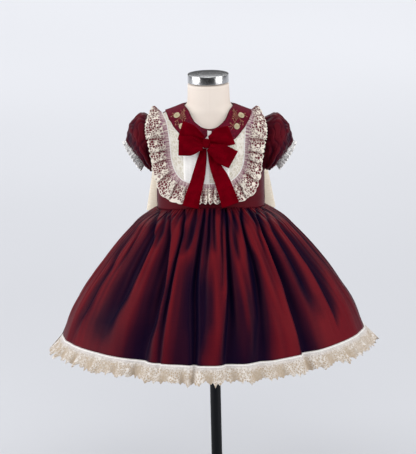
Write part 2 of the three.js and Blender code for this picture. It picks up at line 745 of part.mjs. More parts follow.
// Bows. A loop is a ribbon that leaves the knot, turns at its outer end and comes back.
// Out is the way it points, wide the way across the ribbon, and near the way to its front layer.
function ribbonLoop(name, shape, columns, thickness, color) {
  const { root, out, wide, near } = shape;
  const surface = (u, v) => {
    const turn = u * Math.PI;
    const reach = Math.sin(turn);
    const pinch = smooth(0, 0.5, reach);
    const width = lerp(shape.knotWidth, shape.width, pinch);
    const cupped = shape.cup * pinch * (1 - (2 * v - 1) ** 2);
    const layer = shape.rootGap * Math.cos(turn) + shape.puff * Math.sin(2 * turn) * 0.5;
    return root.clone()
      .addScaledVector(out, shape.length * reach ** 1.15 + shape.slant * (v - 0.5) * pinch)
      .addScaledVector(wide, (v - 0.5) * width + shape.droop * reach * reach)
      .addScaledVector(near, layer + cupped * Math.cos(turn));
  };
  return clothWall(name, surface, columns, 1, thickness, color);
}

function ball(name, centre, sizes, color) {
  const [count, levels] = [10, 7];
  const rings = [];
  for (let k = 1; k < levels; k += 1) {
    const tilt = lerp(-82, 82, (k - 1) / (levels - 2)) * degrees;
    rings.push(Array.from({ length: count }, (_, i) => {
      const turn = (i / count) * 2 * Math.PI;
      return new THREE.Vector3(
        centre.x + sizes.x * Math.cos(tilt) * Math.cos(turn),
        centre.y + sizes.y * Math.cos(tilt) * Math.sin(turn),
        centre.z + sizes.z * Math.sin(tilt),
      );
    }));
  }
  return ringSolid(name, rings, color, {});
}

const FRONT_KNOT = new THREE.Vector3(-6.6, -78.6, 710.5);
const FRONT_LOOPS = [
  { name: "upper_left", side: -1, lift: 27, start: 7.4, length: 50, slant: -3 },
  { name: "lower_left", side: -1, lift: -2, start: 7.4, length: 50, slant: 1 },
  { name: "upper_right", side: 1, lift: 17, start: 7, length: 48, slant: -5 },
  { name: "lower_right", side: 1, lift: -31, start: 6.2, length: 55, slant: 1 },
];

function makeFrontLoop(row) {
  const a = row.lift * degrees;
  const upper = row.name.startsWith("upper");
  const out = new THREE.Vector3(row.side * Math.cos(a), 0, Math.sin(a));
  const wide = new THREE.Vector3(-row.side * Math.sin(a), 0, Math.cos(a)).multiplyScalar(row.side);
  const offset = new THREE.Vector3(0, upper ? 3.2 : -3.1, upper ? 4.6 : -4.6);
  const shape = {
    root: FRONT_KNOT.clone().addScaledVector(out, row.start).add(offset),
    out,
    wide,
    near: new THREE.Vector3(0, -1, 0),
    length: row.length - row.start,
    width: 29,
    knotWidth: 9,
    rootGap: 1.3,
    puff: 2.4,
    cup: 0.4,
    slant: row.slant,
    droop: 0,
  };
  return ribbonLoop(`bow_${row.name}`, shape, 12, VELVET, VELVET_RED);
}

// A ribbon's free tail: stations from the knot to its cut end
function ribbonTail(name, stations, columns, thickness, color) {
  const keys = ["x", "y", "z", "width", "turn"];
  const at = Object.fromEntries(keys.map((key) => [key, through(stations, "t", key)]));
  const surface = (u, v) => {
    const turn = at.turn(u) * degrees;
    const half = (v - 0.5) * at.width(u);
    const cutSlant = (at.cut ?? 0) * (v - 0.5) * smooth(0.7, 1, u);
    return new THREE.Vector3(at.x(u) + half * Math.cos(turn), at.y(u), at.z(u) + half * Math.sin(turn) + cutSlant);
  };
  return clothWall(name, surface, columns, 2, thickness, color);
}

const FRONT_TAILS = {
  left: [
    { t: 0, x: -11.1, y: -71.8, z: 698.6, width: 10, turn: 2 },
    { t: 0.22, x: -16.1, y: -75.5, z: 675, width: 19, turn: 4 },
    { t: 0.55, x: -24.1, y: -82.5, z: 642, width: 25, turn: 5 },
    { t: 0.78, x: -31.6, y: -89, z: 619, width: 28, turn: -4 },
    { t: 1, x: -38.3, y: -93.5, z: 595.5, width: 30, turn: -15 },
  ],
  right: [
    { t: 0, x: 0.4, y: -71.7, z: 697.8, width: 10, turn: 4 },
    { t: 0.22, x: 7.4, y: -77.5, z: 674, width: 19, turn: 8 },
    { t: 0.55, x: 19.4, y: -82.5, z: 646, width: 27, turn: 16 },
    { t: 0.78, x: 27.4, y: -89, z: 624, width: 30, turn: 18 },
    { t: 1, x: 35.7, y: -93.5, z: 597.5, width: 33, turn: 18 },
  ],
};

// The sash and bow at the back of the waist
const BACK_KNOT = new THREE.Vector3(0, 86.2, 597);

function makeSash(side) {
  const surface = (u, v) => {
    const width = lerp(56, 24, u);
    const z = lerp(WAIST_Z + 33, BACK_KNOT.z + 4, smooth(0, 1, u)) + (v - 0.5) * width;
    const p = onForm(formPoint(lerp(97, 175.5, u) * degrees, z), LAYERS.bodice.lift + CLOTH + 2 * SEAM + 0.2);
    p.x *= side;
    p.y += SEAM + 4 * smooth(0.4, 1, u);
    return p;
  };
  return clothWall(side < 0 ? "sash_left" : "sash_right", surface, 10, 2, SATIN, IVORY);
}

function makeBackLoop(side) {
  const shape = {
    root: BACK_KNOT.clone().add(new THREE.Vector3(side * 13, 3, 0)),
    out: new THREE.Vector3(side, 0.14, -0.05).normalize(),
    wide: new THREE.Vector3(0, -0.3, 1).normalize().multiplyScalar(side),
    near: new THREE.Vector3(0, 1, 0.3).normalize(),
    length: 103,
    width: 84,
    knotWidth: 26,
    rootGap: 3,
    puff: 18,
    cup: 1,
    slant: -side * 14,
    droop: -side * 4,
  };
  return ribbonLoop(side < 0 ? "back_bow_left" : "back_bow_right", shape, 16, SATIN, IVORY);
}

// The back tails lie over the skirt's folds
const TAIL_WIDTH = 54;

function makeBackTail(side) {
  const surface = (u, v) => {
    const t = lerp(0.04, 0.9, u) - 0.07 * v * smooth(0.6, 1, u);
    const width = TAIL_WIDTH * lerp(0.32, 1, smooth(0, 0.35, u)) / skirtBack(t);
    const middle = lerp(7, 17, smooth(0, 0.6, u)) + 2 * u;
    const a = Math.PI - side * (middle * degrees + (v - 0.5) * width);
    const clear = lerp(3, 7.5, smooth(0, 0.2, u));
    return new THREE.Vector3(
      skirtHalf(t) * Math.sin(a),
      -skirtBack(t) * Math.cos(a) + clear,
      lerp(WAIST_Z, hemZ(a), t) + clear * 0.4,
    );
  };
  return clothWall(side < 0 ? "back_tail_left" : "back_tail_right", surface, 12, 2, SATIN, IVORY);
}

const dress = new THREE.Group();
dress.add(makeBase(), makePole(), makeForm(), makeCap());
dress.add(makeBodiceFront());
dress.add(makeSkirtPanel("skirt_front", -90, 90, 72));
dress.add(makeSkirtPanel("skirt_back_right", 90, 180, 36));
dress.add(makeSkirtPanel("skirt_back_left", 180, 270, 36));
dress.add(makeHemLace("hem_lace_front", -90, 90));
dress.add(makeHemLace("hem_lace_back", 90, 270));
dress.add(makeBib(), makeRuffle());
for (const side of [-1, 1]) {
  dress.add(makeBodiceBack(side), makeSleeve(side), makeCuffLace(side), makeCollar(side));
  dress.add(...ROSES.map((row) => makeRose(row, side)));
  dress.add(makeSash(side), makeBackLoop(side), makeBackTail(side));
}
dress.add(ball("bow_knot", FRONT_KNOT, { x: 8, y: 7, z: 9.5 }, VELVET_RED));
dress.add(...FRONT_LOOPS.map(makeFrontLoop));
dress.add(ribbonTail("bow_tail_left", FRONT_TAILS.left, 9, VELVET, VELVET_RED));
dress.add(ribbonTail("bow_tail_right", FRONT_TAILS.right, 9, VELVET, VELVET_RED));
dress.add(ball("back_bow_knot", BACK_KNOT, { x: 13, y: 10, z: 17 }, IVORY));

export default dress;
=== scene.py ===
import math

import bpy
import numpy as np
from mathutils import Matrix, Vector


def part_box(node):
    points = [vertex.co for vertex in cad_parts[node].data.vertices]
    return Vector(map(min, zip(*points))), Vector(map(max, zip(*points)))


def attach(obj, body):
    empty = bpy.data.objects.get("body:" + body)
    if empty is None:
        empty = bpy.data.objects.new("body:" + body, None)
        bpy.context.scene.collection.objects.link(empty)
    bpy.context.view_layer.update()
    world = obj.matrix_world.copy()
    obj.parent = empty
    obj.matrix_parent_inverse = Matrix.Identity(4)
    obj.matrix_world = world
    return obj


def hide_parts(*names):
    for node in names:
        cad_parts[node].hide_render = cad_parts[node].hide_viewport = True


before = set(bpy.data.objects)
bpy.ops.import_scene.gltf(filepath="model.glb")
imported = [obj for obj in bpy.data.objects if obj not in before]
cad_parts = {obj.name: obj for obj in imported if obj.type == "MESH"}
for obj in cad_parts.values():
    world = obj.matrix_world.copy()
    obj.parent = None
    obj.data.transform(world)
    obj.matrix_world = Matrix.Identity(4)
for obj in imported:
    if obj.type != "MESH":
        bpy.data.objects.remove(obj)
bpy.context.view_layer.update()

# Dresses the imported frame: a toddler's taffeta party dress on its dress form and stand.
# Shapes are worked out in millimetres, in the row's frame, and placed in metres.
bpy.ops.object.select_all(action="DESELECT")
MM = 0.001
scene = bpy.context.scene
scene.view_settings.view_transform = "Standard"

# Camera: a long lens, a little above the dress, tilted as the photograph is
CAMERA_TARGET = Vector((-0.0067, 0.0, 0.537))
CAMERA_DISTANCE = 8.0
CAMERA_RAISED = math.radians(12.5)
CAMERA_TILT = math.radians(-1.35)
camera_data = bpy.data.cameras.new("studio_camera")
camera_data.sensor_fit = "AUTO"
camera_data.sensor_width = 36
camera_data.lens = 342.9
camera_data.clip_end = 60
camera = bpy.data.objects.new("studio_camera", camera_data)
scene.collection.objects.link(camera)
towards_camera = Vector((0, -math.cos(CAMERA_RAISED), math.sin(CAMERA_RAISED)))
camera.location = CAMERA_TARGET + CAMERA_DISTANCE * towards_camera
camera_raise = Matrix.Rotation(math.pi / 2 - CAMERA_RAISED, 3, "X")
camera.rotation_euler = (camera_raise @ Matrix.Rotation(CAMERA_TILT, 3, "Z")).to_euler()
scene.camera = camera


# Numbers and curves
def lerp(a, b, t):
    return a + (b - a) * t


def smooth(a, b, x):
    t = np.clip((x - a) / (b - a), 0, 1)
    return t * t * (3 - 2 * t)


def through(xs, ys):
    """A smooth function through points, which doesn't overshoot them."""
    xs, ys = np.array(xs, float), np.array(ys, float)
    steps = np.diff(ys) / np.diff(xs)
    slopes = np.concatenate([steps[:1], np.zeros(len(xs) - 2), steps[-1:]])
    before, after = steps[:-1], steps[1:]
    both = before * after > 0
    total = np.where(both, before + after, 1)
    slopes[1:-1] = np.where(both, 2 * before * after / total, 0)

    def at(x):
        x = np.asarray(x, float)
        i = np.clip(np.searchsorted(xs, x, side="right") - 1, 0, len(xs) - 2)
        h = xs[i + 1] - xs[i]
        t = np.clip((x - xs[i]) / h, 0, 1)
        rise = ys[i] * (1 + 2 * t) * (1 - t) ** 2 + ys[i + 1] * t * t * (3 - 2 * t)
        return rise + h * (slopes[i] * t * (1 - t) ** 2 - slopes[i + 1] * t * t * (1 - t))

    return at


def points(x, y, z):
    x, y, z = np.broadcast_arrays(x, y, z)
    return np.stack([x, y, z], axis=-1).astype(float)


def unit(v):
    return v / np.maximum(np.linalg.norm(v, axis=-1, keepdims=True), 1e-9)


def ripple(x, count, seed, sharp=0.32):
    """Irregular gathers round 0..1: 0 on the crowns, falling to -1 in each narrow valley."""
    rng = np.random.default_rng(seed)
    centres = (np.arange(count) + 0.5 + rng.uniform(-0.22, 0.22, count)) / count
    deep = rng.uniform(0.55, 1.0, count)
    total = np.zeros_like(np.asarray(x, float))
    for centre, d in zip(centres, deep):
        away = (np.mod(x - centre + 0.5, 1) - 0.5) * count / sharp
        total -= d * np.exp(-0.5 * away * away)
    return total


def wander(x, y, seed, waves=6, low=1.0, high=3.0):
    """A smooth, seeded unevenness of about -1 to 1 over two coordinates."""
    rng = np.random.default_rng(seed)
    total = 0
    for _ in range(waves):
        fx, fy = rng.uniform(low, high, 2) * rng.choice([-1, 1], 2)
        total = total + np.sin(2 * math.pi * (fx * x + fy * y) + rng.uniform(0, 2 * math.pi))
    return total / math.sqrt(waves) / 1.6


# The body that the cloth follows: level sections of the dress form
# height, half width, depth to the front, depth to the back
BODY = [
    (470, 74, 54, 58), (478, 88, 66, 70), (510, 98, 73, 78), (550, 98.5, 74, 76),
    (578, 98, 73.5, 71), (620, 97.5, 73.5, 70), (660, 98, 72, 71), (690, 98.5, 68, 72),
    (712, 98.5, 60.5, 70), (733, 97.5, 50, 61.5), (744, 94, 45.5, 54.5), (750, 85.5, 43.8, 50.5),
    (756, 70.5, 42.2, 46.5), (762, 55, 41, 43.5), (767.5, 44, 40.3, 42), (774, 40.4, 39.6, 40.2),
    (810, 37.6, 37.6, 37.6),
]
BODY_Z, BODY_HALF, BODY_FRONT, BODY_BACK = zip(*BODY)
body_half = through(BODY_Z, BODY_HALF)
body_front = through(BODY_Z, BODY_FRONT)
body_back = through(BODY_Z, BODY_BACK)
WAIST_Z, WAIST_RISE, ARMPIT_Z = 578, 13, 645
NECK_SIDE_X, SHOULDER_TIP_X, ARMHOLE_HALF_DEPTH = 44.5, 95.5, 33


def body_point(angle, z):
    c = np.cos(angle)
    depth = np.where(c < 0, body_back(z), body_front(z))
    return points(body_half(z) * np.sin(angle), -depth * c, z)


def outside(p):
    depth = np.where(p[..., 1] > 0, body_back(p[..., 2]), body_front(p[..., 2]))
    return np.hypot(p[..., 0] / body_half(p[..., 2]), p[..., 1] / depth) - 1


def outwards(p):
    step = 0.05
    slope = [(outside(p + step * axis) - outside(p - step * axis)) / (2 * step) for axis in np.eye(3)]
    return np.stack(slope, axis=-1)


def on_body(p, lift):
    """The point of the body's surface near p, moved out by lift."""
    q = np.array(p, float)
    for _ in range(8):
        slope = outwards(q)
        q = q - slope * (outside(q) / np.sum(slope * slope, axis=-1))[..., None]
    lift = np.asarray(lift, float)
    return q + unit(outwards(q)) * (lift[..., None] if lift.ndim else lift)


# How far the middle of each layer is outside the body, and the ease added where the shoulders bend
LAYERS = {
    "bodice": (0.7, 0.0), "bib": (1.9, 0.1), "bib_strip": (2.5, 0.1), "piping": (2.2, 0.2),
    "ruffle": (2.2, 0.6), "collar": (3.9, 0.3), "collar_back": (2.2, 0.2), "thread": (4.45, 0.3),
    "rose": (4.9, 0.3),
}


def layered(p, layer, extra=0.0):
    lift, ease = LAYERS[layer]
    return on_body(p, lift + ease * smooth(700, 738, p[..., 2]) + extra)


# angle round the neck in degrees, height of the neckline, height of the collar's outer edge
NECK = [
    (0, 731.5, 722), (3, 731.8, 717.5), (7, 733.5, 712), (12.5, 739.5, 709), (20, 749, 709),
    (25.5, 754, 711.5), (31, 757.5, 717.8), (35, 759.3, 724), (40, 761.3, 731.5), (46, 763, 741),
    (53, 764.5, 746.5), (62, 765.7, 750.2), (75, 766.9, 752.4), (90, 767.5, 753),
    (110, 767.3, 751.5), (135, 766, 745), (160, 764.5, 739), (180, 764, 737),
]
NECK_ANGLE, NECK_Z, COLLAR_Z = zip(*NECK)
neck_z = through(NECK_ANGLE, NECK_Z)
collar_z = through(NECK_ANGLE, COLLAR_Z)


def neckline(angle):
    return body_point(angle, neck_z(np.degrees(np.abs(angle))))


def ridge(x):
    """The shoulder's ridge at a distance from the centre."""
    x = np.asarray(x, float)
    low, high = np.full_like(x, 700.0), np.full_like(x, 775.0)
    for _ in range(40):
        middle = (low + high) / 2
        over = body_half(middle) < x
        high = np.where(over, middle, high)
        low = np.where(over, low, middle)
    return points(x, 0, low)


SHOULDER_TIP_Z = float(ridge(SHOULDER_TIP_X)[2])


def armhole(turn):
    """The armhole's edge on the right: 0 at the shoulder tip, 90 degrees at the front."""
    z = (SHOULDER_TIP_Z + ARMPIT_Z) / 2 + (SHOULDER_TIP_Z - ARMPIT_Z) / 2 * np.cos(turn)
    y = -ARMHOLE_HALF_DEPTH * np.sin(turn)
    depth = np.where(y > 0, body_back(z), body_front(z))
    share = np.minimum(1, np.abs(y) / depth)
    return points(body_half(z) * np.sqrt(1 - share * share), y, z)


def waist_z(angle):
    return WAIST_Z + WAIST_RISE * np.maximum(0, np.cos(angle)) ** 2


def patch(bottom, top, left, right):
    """A surface between four edge curves, each given from 0 to 1."""
    def at(s, t):
        s1, t1 = s[..., None], t[..., None]
        zero, one = np.zeros_like(s), np.ones_like(s)
        return (
            bottom(s) * (1 - t1) + top(s) * t1 + left(t) * (1 - s1) + right(t) * s1
            - bottom(zero) * (1 - s1) * (1 - t1) - bottom(one) * s1 * (1 - t1)
            - top(zero) * (1 - s1) * t1 - top(one) * s1 * t1
        )
    return at


def pick(condition, a, b):
    return np.where(condition[..., None], a, b)


def half_panel(front):
    """Half of the bodice's front or back, from the centre to the side and the waist to the shoulder."""
    start, turned = (0, 1) if front else (math.pi, -1)
    neck_share, side_share = 0.5, 0.36

    def angle(s):
        return start + turned * s * math.pi / 2

    def bottom(s):
        return body_point(angle(s), waist_z(angle(s)) - 5)

    def top(s):
        x = lerp(NECK_SIDE_X, SHOULDER_TIP_X, np.clip((s - neck_share) / (1 - neck_share), 0, 1))
        return pick(s <= neck_share, neckline(angle(np.minimum(s, neck_share) / neck_share)), ridge(x))

    def centre(t):
        low, high = bottom(np.zeros(1))[0, 2], top(np.zeros(1))[0, 2]
        return body_point(np.full_like(t, start), lerp(low, high, t))

    def side(t):
        z = lerp(WAIST_Z, ARMPIT_Z, np.minimum(t, side_share) / side_share)
        low = body_point(np.full_like(t, math.pi / 2), z)
        turn = math.pi * (1 - np.clip((t - side_share) / (1 - side_share), 0, 1))
        return pick(t <= side_share, low, armhole(turn if front else -turn))

    return patch(bottom, top, centre, side)


class OutlineCurve:
    """A smooth curve through points, read by its share of the length."""

    def __init__(self, rows):
        rows = np.array(rows, float)
        chords = np.concatenate([[0], np.cumsum(np.sqrt(np.linalg.norm(np.diff(rows, axis=0), axis=1)))])
        dense = np.linspace(0, chords[-1], 800)
        self.path = np.stack([through(chords, rows[:, i])(dense) for i in range(3)], axis=-1)
        steps = np.linalg.norm(np.diff(self.path, axis=0), axis=1)
        self.length = float(steps.sum())
        self.share = np.concatenate([[0], np.cumsum(steps)]) / self.length

    def at(self, q):
        return np.stack([np.interp(q, self.share, self.path[:, i]) for i in range(3)], axis=-1)

    def along(self, q):
        return unit(self.at(np.minimum(q + 0.004, 1)) - self.at(np.maximum(q - 0.004, 0)))


SHOULDER_DROP = 0.0236


def dropped(p):
    """The dress sits a little lower at the right shoulder than at the left."""
    share = smooth(590, 690, p[..., 2]) - smooth(772, 800, p[..., 2])
    q = np.array(p, float)
    q[..., 2] -= SHOULDER_DROP * q[..., 0] * share
    return q


# Making cloth and other pieces
def hex_color(text):
    """An sRGB hex colour as linear red, green, blue and alpha."""
    values = [int(text[i:i + 2], 16) / 255 for i in (1, 3, 5)]
    return tuple(v / 12.92 if v <= 0.04045 else ((v + 0.055) / 1.055) ** 2.4 for v in values) + (1.0,)


def finish_piece(piece, material, replaces=()):
    piece.data.materials.clear()
    piece.data.materials.append(material)
    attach(piece, "root")
    if replaces:
        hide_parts(*replaces)
    piece.select_set(False)
    return piece


def active_only(piece):
    bpy.ops.object.select_all(action="DESELECT")
    piece.select_set(True)
    bpy.context.view_layer.objects.active = piece


def apply_modifier(piece, kind, **settings):
    active_only(piece)
    modifier = piece.modifiers.new(kind.lower(), kind)
    for key, value in settings.items():
        setattr(modifier, key, value)
    bpy.ops.object.modifier_apply(modifier=modifier.name)


def edit_all(piece, operator, **settings):
    """Runs one operator of edit mode on all of a piece."""
    active_only(piece)
    bpy.ops.object.mode_set(mode="EDIT")
    bpy.ops.mesh.select_all(action="SELECT")
    operator(**settings)
    bpy.ops.object.mode_set(mode="OBJECT")


def weld(piece, distance=2e-5):
    edit_all(piece, bpy.ops.mesh.remove_doubles, threshold=distance)


def bevel_edges(piece, width, segments):
    """Rounds a turned piece's edges by a width in millimetres and smooths its round faces."""
    apply_modifier(piece, "BEVEL", width=width * MM, segments=segments, limit_method="ANGLE",
                   angle_limit=math.radians(25))
    bpy.ops.object.shade_smooth_by_angle(angle=math.radians(35))


SIDES = ((-1, "left"), (1, "right"))


def mirrored(surface, side):
    """A surface that is drawn on the right, at the side given: -1 is left, 1 is right."""
    def at(u, v):
        p = surface(u, v)
        p[..., 0] *= side
        return p
    return at


def cloth(name, columns, rows, surface, size, thickness=0.5, closed=False, turn_over=False, marks=None,
          measured=None):
    """A sheet of cloth: a flat grid whose points are laid on a surface, given from 0 to 1 both ways.

    size is its width and length in millimetres, which its UV map keeps. With measured, the width
    is measured along that row of a cloth that spreads or is gathered. marks are named values of the
    cloth, given over the same coordinates, for its material.
    """
    bpy.ops.object.select_all(action="DESELECT")
    bpy.ops.mesh.primitive_grid_add(x_subdivisions=columns, y_subdivisions=rows, size=1)
    piece = bpy.context.object
    piece.name = name
    mesh = piece.data
    flat = np.empty(len(mesh.vertices) * 3)
    mesh.vertices.foreach_get("co", flat)
    flat = flat.reshape(-1, 3)
    u, v = np.clip(flat[:, 0] + 0.5, 0, 1), np.clip(flat[:, 1] + 0.5, 0, 1)
    placed = dropped(surface(u, v)) * MM
    mesh.vertices.foreach_set("co", placed.ravel())
    layer = mesh.uv_layers.active.data
    uv = np.empty(len(layer) * 2)
    layer.foreach_get("uv", uv)
    uv = uv.reshape(-1, 2)
    if measured is not None:
        places = np.linspace(0, 1, columns)
        row = surface(places, np.full_like(places, measured))
        run = np.concatenate([[0], np.cumsum(np.linalg.norm(np.diff(row, axis=0), axis=1))])
        uv[:, 0] = np.interp(uv[:, 0], places, run) / size[0]
    uv = uv * np.array(size) * MM
    layer.foreach_set("uv", uv.ravel())
    for mark, values in (marks or {}).items():
        attribute = mesh.attributes.new(mark, "FLOAT", "POINT")
        attribute.data.foreach_set("value", np.broadcast_to(values(u, v), u.shape).astype(np.float32))
    mesh.update()
    if closed:
        weld(piece)
    if turn_over:
        edit_all(piece, bpy.ops.mesh.flip_normals)
    if thickness:
        apply_modifier(piece, "SOLIDIFY", thickness=thickness * MM, offset=0.0)
    active_only(piece)
    bpy.ops.object.shade_smooth()
    return piece


# Materials
def feed(tree, socket, value):
    """Gives an input a value or another node's output."""
    if isinstance(value, bpy.types.NodeSocket):
        tree.links.new(value, socket)
    else:
        socket.default_value = value


def add_node(tree, kind, settings=None, **inputs):
    """Adds a node with its settings. An input is a value or another node's output."""
    made = tree.nodes.new(kind)
    for key, value in (settings or {}).items():
        if key == "stops":
            elements = made.color_ramp.elements
            while len(elements) < len(value):
                elements.new(1.0)
            for element, (place, color) in zip(elements, value):
                element.position = place
                element.color = hex_color(color)
        else:
            setattr(made, key, value)
    for key, value in inputs.items():
        feed(tree, made.inputs[int(key[1:]) if key[0] == "_" else key.replace("_", " ")], value)
    return made


def coordinates(tree, kind):
    return add_node(tree, "ShaderNodeTexCoord").outputs[kind]


def marked(tree, name):
    """A value that the cloth's points carry."""
    return add_node(tree, "ShaderNodeAttribute", {"attribute_name": name}).outputs["Fac"]


def combine(tree, operation, *values):
    """A sum, product or other calculation on values or other nodes' outputs."""
    inputs = {f"_{place}": value for place, value in enumerate(values)}
    return add_node(tree, "ShaderNodeMath", {"operation": operation}, **inputs).outputs[0]


def noise(tree, where, scale, detail):
    return add_node(tree, "ShaderNodeTexNoise", Vector=where, Scale=scale, Detail=detail).outputs["Fac"]


def drawn_out(tree, where, scale, detail):
    """Noise of another scale each way, as slubs and creases are."""
    return noise(tree, add_node(tree, "ShaderNodeMapping", Vector=where, Scale=scale).outputs[0], 1.0, detail)


def shades(tree, value, *stops):
    return add_node(tree, "ShaderNodeValToRGB", {"stops": stops}, Fac=value).outputs["Color"]


def mixed(tree, share, one, other):
    return add_node(tree, "ShaderNodeMixRGB", Fac=share, Color1=one, Color2=other).outputs["Color"]


def ranged(tree, value, start=(0.0, 1.0), end=(0.0, 1.0), soft=False):
    """A value moved from one range to another, evenly or, if soft, with eased ends."""
    return add_node(
        tree, "ShaderNodeMapRange", {"interpolation_type": "SMOOTHSTEP"} if soft else None,
        Value=value, From_Min=start[0], From_Max=start[1], To_Min=end[0], To_Max=end[1],
    ).outputs[0]


def new_material(name):
    material = bpy.data.materials.new(name)
    material.use_nodes = True
    tree = material.node_tree
    tree.nodes.clear()
    shader = add_node(tree, "ShaderNodeBsdfPrincipled")
    add_node(tree, "ShaderNodeOutputMaterial", Surface=shader.outputs["BSDF"])
    return material, tree, shader


def set_shader(tree, shader, relief=None, **inputs):
    """Sets the shader's inputs. relief is a height, its strength and its depth in millimetres."""
    if relief:
        height, strength, depth = relief
        bump = add_node(tree, "ShaderNodeBump", Strength=strength, Distance=depth * MM, Height=height)
        inputs["Normal"] = bump.outputs[0]
    for key, value in inputs.items():
        feed(tree, shader.inputs[key.replace("_", " ")], value)


def shot_taffeta():
    """Yarn-dyed taffeta, red warp on navy weft, plain woven: it shines softly along each fold,
    and its blue-black deep in the folds is painted shade."""
    material, tree, shader = new_material("shot_taffeta_burgundy")
    uv = coordinates(tree, "UV")
    hollow = marked(tree, "hollow")
    # A weft slub every few millimetres, drawn out across the cloth
    slub = drawn_out(tree, uv, (22, 520, 1), 3.0)
    # Painted shade: the colour turns towards navy deep in the folds; the slubs add real unevenness
    slubs_and_painted_shade = combine(tree, "MULTIPLY_ADD", slub, 0.12, hollow)
    # Threads are about 0.2 mm, drawn 0.9 mm so that the weave shows
    warp, weft = (
        add_node(tree, "ShaderNodeTexWave", {"bands_direction": way}, Vector=uv, Scale=350.0).outputs["Fac"]
        for way in "XY"
    )
    height = combine(tree, "MULTIPLY_ADD", slub, 1.6, combine(tree, "MULTIPLY", warp, weft))
    # The ramp's navy-black end is painted shade in the fold dips
    shot_and_painted_shade = shades(tree, slubs_and_painted_shade, (0.06, "#5f121c"), (0.3, "#480e1b"), (0.62, "#240a1c"), (1.0, "#0b071d"))
    # Less shine where the painted fold shade lies
    shine = ranged(tree, hollow, end=(0.16, 0.06))
    set_shader(tree, shader, (height, 0.12, 0.4), Roughness=0.44, Specular_IOR_Level=shine,
               Specular_Tint=hex_color("#ff7468"), Base_Color=shot_and_painted_shade)
    return material


def velvet():
    """Rayon velvet ribbon, cut pile: almost black-red head on, with bright red where it turns away."""
    material, tree, shader = new_material("velvet_ribbon_red")
    uv = coordinates(tree, "UV")
    pile, brushed = noise(tree, uv, 900.0, 2.0), noise(tree, uv, 45.0, 3.0)
    both = combine(tree, "MULTIPLY_ADD", pile, 0.35, brushed)
    set_shader(
        tree, shader, (both, 0.4, 0.5), Roughness=0.85, Specular_IOR_Level=0.06,
        Specular_Tint=hex_color("#ff3040"), Sheen_Weight=0.35, Sheen_Roughness=0.25,
        Sheen_Tint=hex_color("#c80820"), Base_Color=shades(tree, both, (0.45, "#4e0009"), (0.95, "#740011")),
    )
    return material


def satin(name, light, dark):
    """Polyester satin: long floats across the cloth give a broad soft shine."""
    material, tree, shader = new_material(name)
    floats = drawn_out(tree, coordinates(tree, "UV"), (30, 900, 1), 2.0)
    set_shader(tree, shader, (floats, 0.08, 0.4), Roughness=0.34, Sheen_Weight=0.15,
               Base_Color=shades(tree, floats, (0.3, dark), (0.65, light)))
    return material


def plum_jacquard():
    """Matt cotton-blend jacquard: small woven figures stand a little off a plum ground."""
    material, tree, shader = new_material("jacquard_plum")
    uv = coordinates(tree, "UV")
    figures = add_node(tree, "ShaderNodeTexVoronoi", {"feature": "SMOOTH_F1"}, Vector=uv, Scale=260.0)
    both = combine(tree, "MULTIPLY_ADD", noise(tree, uv, 900.0, 2.0), 0.4, figures.outputs["Distance"])
    set_shader(tree, shader, (both, 0.35, 0.4), Roughness=0.8, Specular_IOR_Level=0.12,
               Base_Color=shades(tree, both, (0.25, "#720f29"), (0.85, "#50091d")))
    return material


def corded_lace(name, thread, net, hole_and_shade, cell, cord, heading, edge_from, see_through=0.0):
    """Corded lace: cream cords round open cells, some cells filled with stitches, on a fine net.

    cell is the distance between two cells in millimetres and cord the share of it that is thread.
    heading is the share of the width beside the seam that is plain net, edge_from the share where
    the closed edge starts, and see_through how open the net between the threads is.
    """
    material, tree, shader = new_material(name)
    uv = coordinates(tree, "UV")
    across, hollow, folded = (marked(tree, mark) for mark in ("across", "hollow", "folded"))
    rims, cells = (
        add_node(tree, "ShaderNodeTexVoronoi", {"feature": feature}, Vector=uv, Scale=1000.0 / cell,
                 Randomness=0.75)
        for feature in ("DISTANCE_TO_EDGE", "F1")
    )
    # Where the lace lies double, its cords cover more, which is also part of a painted highlight along the fold
    thick = combine(tree, "MULTIPLY_ADD", folded, 0.03, cord)
    thin = combine(tree, "SUBTRACT", thick, rims.outputs["Distance"])
    cords = ranged(tree, thin, (-0.035, 0.035), soft=True)
    chance = add_node(tree, "ShaderNodeSeparateColor", Color=cells.outputs["Color"]).outputs[0]
    filled = combine(tree, "GREATER_THAN", chance, 0.93)
    beyond = ranged(tree, across, (heading, heading + 0.14), soft=True)
    inside = combine(tree, "MULTIPLY", combine(tree, "MAXIMUM", cords, filled), beyond)
    edge = ranged(tree, across, (edge_from, edge_from + 0.03), soft=True)
    threads = combine(tree, "MAXIMUM", inside, edge)
    # Gathers crease the plain net beside the seam
    creased = drawn_out(tree, uv, (330, 22, 1), 2.0)
    plain = ranged(tree, across, (heading, heading + 0.3), (1.0, 0.0))
    lighter = combine(tree, "MULTIPLY", creased, plain)
    backing = shades(tree, lighter, (0.05, hole_and_shade), (0.38, net), (0.7, thread))
    # Lighter towards the thread colour at each flounce's lower fold: partly double lace, partly painted highlight
    behind = mixed(tree, combine(tree, "MULTIPLY", folded, 0.28), backing, hex_color(thread))
    color = mixed(tree, threads, behind, hex_color(thread))
    # Painted shade: darker towards the gap colour in the dips between folds and flounces
    set_shader(tree, shader, (threads, 0.8, 0.8), Roughness=0.8,
               Base_Color=mixed(tree, hollow, color, hex_color(hole_and_shade)))
    if see_through:
        set_shader(tree, shader, Alpha=ranged(tree, threads, end=(1.0 - see_through, 1.0)))
    return material


def plain_cloth(name, light, dark, roughness, spacing):
    """Fine plain-woven or knitted cloth: an even colour with a slight grain."""
    material, tree, shader = new_material(name)
    where = coordinates(tree, "Object")
    grain, cloud = noise(tree, where, 1000.0 / spacing, 2.0), noise(tree, where, 9.0, 2.0)
    both = combine(tree, "MULTIPLY_ADD", grain, 0.3, cloud)
    set_shader(tree, shader, (grain, 0.12, 0.4), Roughness=roughness,
               Base_Color=shades(tree, both, (0.4, dark), (0.85, light)))
    return material


